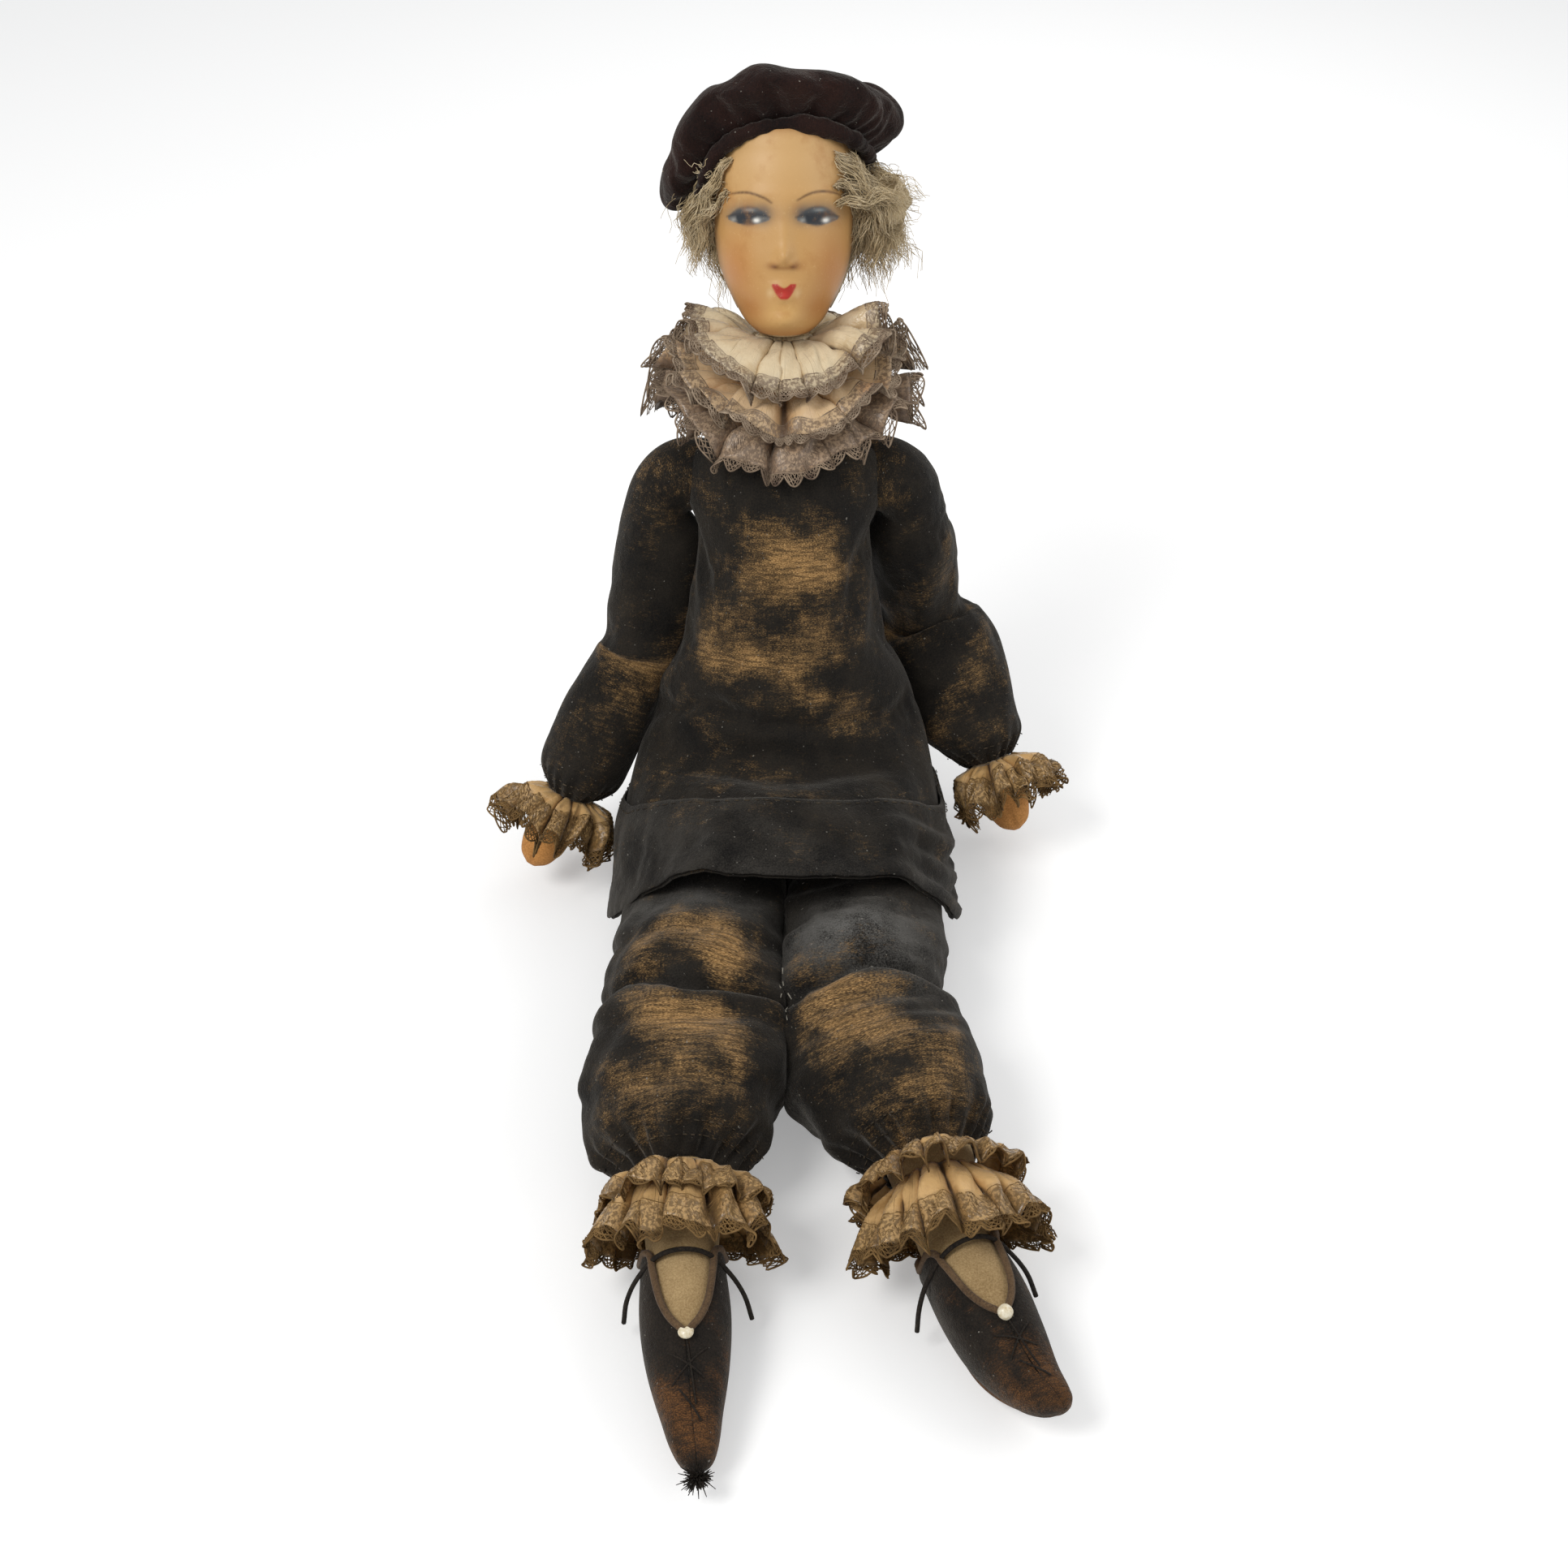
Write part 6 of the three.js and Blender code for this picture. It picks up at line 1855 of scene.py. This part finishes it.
def blob(cx, ch, w, h):
    """A soft round patch of the face."""
    return np.exp(-((px - cx) / w) ** 2 - ((ph - ch) / h) ** 2)


def stroke(points, half, soft=0.5):
    """Share of a painted line through a few points of the face, with half widths along it."""
    line = catmull(points, 12)
    t = np.linspace(0, 1, len(line))
    size = np.interp(t, np.linspace(0, 1, len(half)), half)
    best = np.full(len(px), 9.0)
    for (lx, lh), reach in zip(line, size):
        best = np.minimum(best, np.hypot(px - lx, ph - lh) - reach)
    return np.clip(0.5 - best / (2 * soft), 0, 1)


turned_by = np.broadcast_to(mask_turn, x.shape).ravel()
# painted light: the forehead lighter, as lit from above
brush(0.8 * rise(ph, 56, 84), (208, 167, 112))
for side in (1, -1):
    brush(0.75 * blob(side * 24, 32, 9, 16), (186, 120, 56))
    # darker orange on the lower jaw: partly its paint, partly painted shade
    brush(0.7 * blob(side * 17, 14, 8, 8), (176, 112, 52))
    # painted shade along the sides of the face, where it turns away from the light
    brush(0.6 * rise(side * turned_by, 1.05, 1.38), (136, 106, 74))
brush(0.6 * blob(0, 13, 9, 6), (214, 170, 102))
# painted shade under the chin
brush(0.7 * rise(-ph, -7, -1), (170, 112, 54))
# painted highlight down the nose
brush(0.2 * blob(0, 48, 5, 12), (212, 172, 114))
# painted shadow of the cap's brim on the top of the forehead
brush(0.85 * rise(ph, 93, 103), (150, 92, 44))
# painted shade under the nose and in the nostrils
for side in (1, -1):
    brush(0.75 * blob(side * 5.6, NOSE_HIGH - 3.2, 3.0, 1.7), (150, 98, 48))
    brush(0.9 * blob(side * 4.4, NOSE_HIGH - 3.6, 1.6, 0.8), (112, 68, 34))
# painted shade along the underside of the nose
brush(0.55 * blob(0, NOSE_HIGH - 4.2, 4.0, 0.9), (150, 98, 50))
EYES = {1: 16.2, -1: -17.2}
EYE_HALF = 10.0
BROWS = {1: [(6.5, 65.2), (12, 68.0), (18.5, 69.2), (25, 68.2), (29, 66.0)],
         -1: [(-6.0, 64.0), (-10, 66.4), (-17.5, 68.6), (-25, 68.0), (-31, 66.4)]}
for side in (1, -1):
    centre = EYES[side]
    across = (px - centre) / EYE_HALF
    brush(0.85 * blob(centre, EYE_HIGH + 1.8, 10.8, 4.8), (74, 81, 84))
    brush(0.75 * blob(centre - side * 7.5, EYE_HIGH + 1.6, 3.4, 4.0), (66, 70, 74))
    brush(stroke(BROWS[side], [0.35, 0.55, 0.6, 0.45, 0.15], 0.45) * 0.92, (86, 56, 30))
    upper_lid = EYE_HIGH + 0.5 + 0.9 * (1 - across ** 2)
    lower_lid = EYE_HIGH - 1.0 - 2.2 * (1 - across ** 2)
    lid = rise(ph - upper_lid, -0.4, 0.4) * rise(upper_lid + 4.2 * (1 - across ** 2) - ph, -0.8, 1.2)
    brush(0.85 * lid * (np.abs(across) < 1), (50, 58, 64))
    # painted highlight: a sheen spot on the lid
    brush(0.6 * blob(centre + 0.8, EYE_HIGH + 3.6, 2.6, 0.8), (150, 160, 160))
    inside = rise(upper_lid - ph, -0.3, 0.3) * rise(ph - lower_lid, -0.3, 0.3) * (np.abs(across) < 1)
    brush(0.9 * inside, (100, 103, 102))
    iris = rise(5.0 - np.hypot(px - centre + 1.0, ph - EYE_HIGH - 0.2), -0.6, 0.6)
    brush(iris * inside, (34, 40, 46))
    shifts = (-10.4, -5, 0, 5, 10.4)
    lid_line = [(centre + shift, EYE_HIGH + 0.3 + 1.3 * (1 - (shift / 10.4) ** 2)) for shift in shifts]
    brush(stroke(lid_line, [0.3, 0.7, 0.9, 0.7, 0.3], 0.6) * 0.9, (34, 36, 40))
    low_line = [(centre - 9, EYE_HIGH - 0.9), (centre, EYE_HIGH - 3.3), (centre + 9, EYE_HIGH - 0.7)]
    brush(stroke(low_line, [0.15, 0.6, 0.15], 0.6) * 0.8, (58, 56, 58))
    brush(blob(centre + 3.9, EYE_HIGH - 1.2, 1.5, 1.0) * 1.25, (238, 234, 224))
    brush(blob(centre - 7.4, EYE_HIGH - 1.2, 1.2, 0.8) * 0.6, (172, 170, 162))
LIP_RED = (172, 28, 20)
lip_width = 5.9 * np.clip((ph - 18.6) / 6.6, 0, 1) ** 0.5
lip_top = 24.5 + 1.9 * np.minimum(np.abs(px) / 3.2, 1) ** 1.5
lips = rise(lip_width - np.abs(px), -0.4, 0.5) * rise(lip_top - ph, -0.4, 0.4) * rise(ph, 18.7, 19.5)
brush(lips * 0.97, LIP_RED)
brush(lips * blob(0, 21, 1.8, 2.4) * 0.5, (198, 56, 42))
# painted highlights beside the corners of the mouth
for side in (1, -1):
    brush(blob(side * 6.6, 22.0, 1.7, 2.2) * 0.45, (228, 198, 150))

face_paint = Finish("painted_face", 0.5, 0.4, Coat_Weight=0.1, Coat_Roughness=0.35)
painted = face_paint.attribute("paint", "Color")
age = face_paint.noise(70, 5)
speckle = face_paint.noise(620, 3)
browned = face_paint.times(face_paint.band(age, 0.5, 0.72), 0.42)
flecked = face_paint.times(face_paint.band(speckle, 0.6, 0.74), 0.22)
face_paint.colour(face_paint.mix(flecked, face_paint.mix(browned, painted, (176, 120, 60)), (226, 188, 134)))
face_paint.rough(face_paint.maths("ADD", face_paint.times(age, 0.3), 0.36))
face_paint.bump(face_paint.noise(900, 2), 0.00015, 0.5)
faces, corners = grid(MASK_ROWS, MASK_COLUMNS, closed=False)
mask = add_mesh("painted_face_mask", BODY(mask_points), faces, face_paint, marks={"paint": paint})
finish_piece(mask, MASK_THICK)
declare(mask, "painted_face", "head", "face_mask", fill=STUFFED_FILL)
head_rings = [(-CHIN - h, w, f, b) for h, w, f, b in HEAD]
stuffed_piece("muslin_head", [limb_rows(head_rings, BODY)], muslin, "head", "stuffed_head")
print("face painted")

# %% [markdown]
# ## Cap
# The cap is a soft beret of dark maroon velvet, gathered into a rolled edge. Lobes and gathers come from
# a wave round the crown, stronger near the edge, and the crown then settles like the other velvet.

# %% Cap crown and roll
CROWN = [(-3, 40, 42), (1, 51, 48), (8, 57, 52.5), (18, 57, 52), (26, 49, 45), (31, 33, 31),
         (34.5, 15, 14), (35.4, 2, 2), (35.5, 0.1, 0.1)]
CROWN_STEP = 2.2
CROWN_COLUMNS = 132
BROW_ARCH = 14.0  # how far the edge rises over the forehead
BROW_WIDE = (math.radians(62), math.radians(50))  # half width of that arch to each side
BROW_TUCK = 9.0  # and how far it goes back there
CAP_SAG = 15.0  # how far the cap hangs down over one ear
CAP_PERK = 3.0  # and how far its edge rises over the other
crown_turn = around(CROWN_COLUMNS)


def over_brow(points):
    """Lifts the front of the cap's edge off the forehead."""
    points = np.array(points, float)
    turn = np.arctan2(points[..., 0], -points[..., 1])
    low = 1 - rise(points[..., 2], -2, 28)
    share = np.exp(-((turn / np.where(turn < 0, *BROW_WIDE)) ** 2)) * low
    points[..., 2] += BROW_ARCH * share
    points[..., 1] += BROW_TUCK * share
    points[..., 2] += CAP_PERK * low * rise(points[..., 0], 12, 52) - CAP_SAG * rise(-points[..., 0], 26, 58)
    return points


rows, along = loft([oval_ring(crown_turn, z, wide, deep, deep) for z, wide, deep in CROWN], CROWN_STEP)
out = normals_of(rows)
edge = (1 - rise(along, 8, 34))[:, None]
to_top = np.clip(along / along[-1], 0, 1)
lobes = 1.5 * np.sin(7 * crown_turn + 1.0)[None] * np.sin(math.pi * to_top)[:, None]
gather = 0.6 * edge * np.cos(27 * crown_turn + 2.2 * ripple(15, 3 * crown_turn))[None]
gather = gather * rise(along, 0, 6)[:, None]
puffs = 2.8 * ripple(17, 3.4 * crown_turn[None], along[:, None] / 15) * rise(along, 2, 14)[:, None]
below_top = (1 - rise(along, along[-1] - 26, along[-1]))[:, None]
rows = rows + out * ((lobes + gather + puffs) * below_top)[..., None]
faces, corners = grid(len(rows), CROWN_COLUMNS)
held = np.maximum(1 - rise(along, 1, 7), rise(along, along[-1] - 5, along[-1] - 1))
local = over_brow(rows.reshape(-1, 3))
pins = np.repeat(held, CROWN_COLUMNS)
points = settle_cloth(CAP(local), faces, pins, spare=0.09, blow=0.5, out=5.0, dent=3.5, seed=29, bend=0.4)
wear = 0.12 + 0.2 * ripple(19, local[:, 0] / 14, local[:, 1] / 12, local[:, 2] / 9)
uv = cloth_uv(points, len(rows), CROWN_COLUMNS, corners)
crown = add_mesh("velvet_cap_crown", points, faces, cap_velvet, uv, {"wear": wear})
finish_piece(crown, VELVET_THICK, 1)
declare(crown, "cap_velvet", "head", "cap_crown", fill=0.5)

ROLL_HALF = 4.2
ROLL_WIDE = 42.5
ROLL_DEEP = 44.5
ROLL_DROP = 5.6
ROLL_COLUMNS = 160
ROLL_ROWS = 18
roll_turn = around(ROLL_COLUMNS)
gather = 0.08 * np.cos(30 * roll_turn + 3 * ripple(23, 3 * roll_turn))
girth = ROLL_HALF * (1 + gather + 0.3 * ripple(24, 5 * roll_turn))
rows = []
for angle in around(ROLL_ROWS):
    reach = girth * math.cos(angle)
    lift = girth * 0.9 * math.sin(angle) - ROLL_DROP
    rows.append([(ROLL_WIDE + reach) * np.cos(roll_turn), (ROLL_DEEP + reach) * np.sin(roll_turn), lift])
flat = over_brow(np.array(rows).transpose(0, 2, 1).reshape(-1, 3))
faces = grid(ROLL_ROWS + 1, ROLL_COLUMNS)[0] % (ROLL_ROWS * ROLL_COLUMNS)  # the last row closes on the first
wear = 0.15 + 0.15 * ripple(25, flat[:, 0] / 9, flat[:, 1] / 9)
roll = add_mesh("velvet_cap_roll", CAP(flat), faces, cap_velvet, None, {"wear": wear})
declare(roll, "cap_velvet", "head", "cap_rolled_edge", fill=0.7)
print("cap made")

# %% [markdown]
# ## Mohair wig
# The hair is ash-blond mohair, frizzy and flattened by the cap: a full bunch beside one cheek, a thin wavy
# lock beside the other, and a soft mass behind. Each strand is a wavy line from under the cap to a place
# in its bunch, and the same thread tree gives it a tube. A soft form under the strands keeps it dense.

# %% Wig strands
BUNCHES = {  # middle, half sizes, locks, and the range of turns round the head where its roots are
    "wig_left_bunch": ((46, 4, 310), (30, 24, 34), 48, (-48, 20)),
    "wig_right_bunch": ((-42, 4, 310), (14, 21, 32), 30, (160, 224)),
    "wig_back": (None, None, 48, (4, 176)),
}
NAPE = (16, 44)  # how far above the chin the hair behind ends
mohair = Finish("mohair", 0.7, 0.25, Sheen_Weight=0.2)
strand_tone = mohair.weigh(mohair.noise(130, 4), 0.6, mohair.noise(900, 2), 0.4)
mohair.colour(mohair.ramp(strand_tone, (0.3, (130, 108, 74)), (0.5, (194, 172, 132)), (0.7, (230, 213, 180))))
STRAND_POINTS = 16
LOCK_STRANDS = 30
STRAND_RADIUS = 0.27
PADDING_ROWS = 28
PADDING_COLUMNS = 40
PADDING_THICK = 1.2
draw = np.random.default_rng(404)


def on_head(angle, high, lift):
    """A place on the head at a turn and a height above the chin, lifted off it."""
    wide, front, back = smooth_table(HEAD, [high])[0]
    deep = front if math.sin(angle) < 0 else back
    return np.array([(wide + lift) * math.cos(angle), (deep + lift) * math.sin(angle), CHIN + high])


def lock(middle, size, turns):
    """The strands of one wavy lock in the body's frame, from under the cap into its bunch or to the nape."""
    angle = math.radians(draw.uniform(*turns))
    root = on_head(angle, draw.uniform(62, 86), 3.4)
    if middle is None:
        end = on_head(angle + draw.normal(0, 0.14), draw.uniform(*NAPE), draw.uniform(2.5, 6))
    else:
        way = draw.normal(0, 1, 3)
        way[2] = way[2] - 0.9
        way = way / np.linalg.norm(way)
        end = np.array(middle) + way * np.array(size) * draw.uniform(0.7, 1.0)
    outward = np.array([root[0], root[1], 0]) / np.hypot(root[0], root[1])
    bend = root + (end - root) * 0.4 + outward * draw.uniform(4, 12) + np.array([0, 0, draw.uniform(0, 6)])
    side_way = np.cross(end - root, outward)
    side_way = side_way / max(np.linalg.norm(side_way), 1e-6)
    waves = 2 * math.pi * np.linalg.norm(end - root) / draw.uniform(15, 22)
    phase = draw.uniform(0, 2 * math.pi)
    swing = draw.uniform(1.8, 3.6)
    made = []
    for _ in range(LOCK_STRANDS):
        s = np.linspace(0, draw.uniform(0.7, 1.1), STRAND_POINTS)[:, None]
        line = root * (1 - s) ** 2 + 2 * bend * s * (1 - s) + end * s * s
        wave = side_way * np.sin(waves * s + phase) + 0.6 * outward * np.cos(waves * s + phase)
        drift = draw.normal(0, 1.6, 3) * (0.5 + s) * (2.2 if draw.random() < 0.08 else 1)
        frizz = draw.normal(0, 0.6, 3) * np.sin(draw.uniform(12, 30) * s + draw.uniform(0, 6))
        made.append(line + wave * swing * (0.3 + s) + drift + frizz)
    return made


for node, (middle, size, locks, turns) in BUNCHES.items():
    strands = [line for _ in range(locks) for line in lock(middle, size, turns)]
    lines = [(BODY(line), np.linspace(1.0, 0.45, STRAND_POINTS), False) for line in strands]
    hair = add_threads(f"{node}_strands", lines, STRAND_RADIUS, mohair, 3)
    declare(hair, "mohair", "head", node)
    if middle is None:
        turn = np.radians(np.linspace(0, 180, PADDING_COLUMNS))[None]
        level = np.linspace(NAPE[0] - 4, 92, PADDING_ROWS)
        wide, _, back = (smooth_table(HEAD, level) + 2.4)[:, :, None].transpose(1, 0, 2)
        level = level[:, None]
        lump = 1 + 0.03 * ripple(28, 9 * turn, level / 11)
        high = CHIN + level + 0 * turn
        form = np.stack([wide * lump * np.cos(turn), back * lump * np.sin(turn), high], -1)
    else:
        level = np.linspace(0.05, math.pi - 0.05, PADDING_ROWS)[:, None]
        turn = around(PADDING_COLUMNS)[None]
        lump = 0.52 + 0.1 * ripple(27, 5 * turn, 4 * level)
        girth = np.sin(level)
        ball = np.stack([girth * np.cos(turn), girth * np.sin(turn), np.cos(level) + 0 * turn], -1)
        form = np.array(size) * lump[..., None] * ball + np.array(middle)
    closed = middle is not None
    faces = grid(PADDING_ROWS, PADDING_COLUMNS, closed)[0]
    points = BODY(form.reshape(-1, 3))
    base = add_mesh(f"{node}_padding", points, faces, mohair, ends=PADDING_COLUMNS if closed else 0)
    if not closed:
        finish_piece(base, PADDING_THICK)
    declare(base, "mohair", "head", fill=0.6)
    print(node, len(lines), "strands")
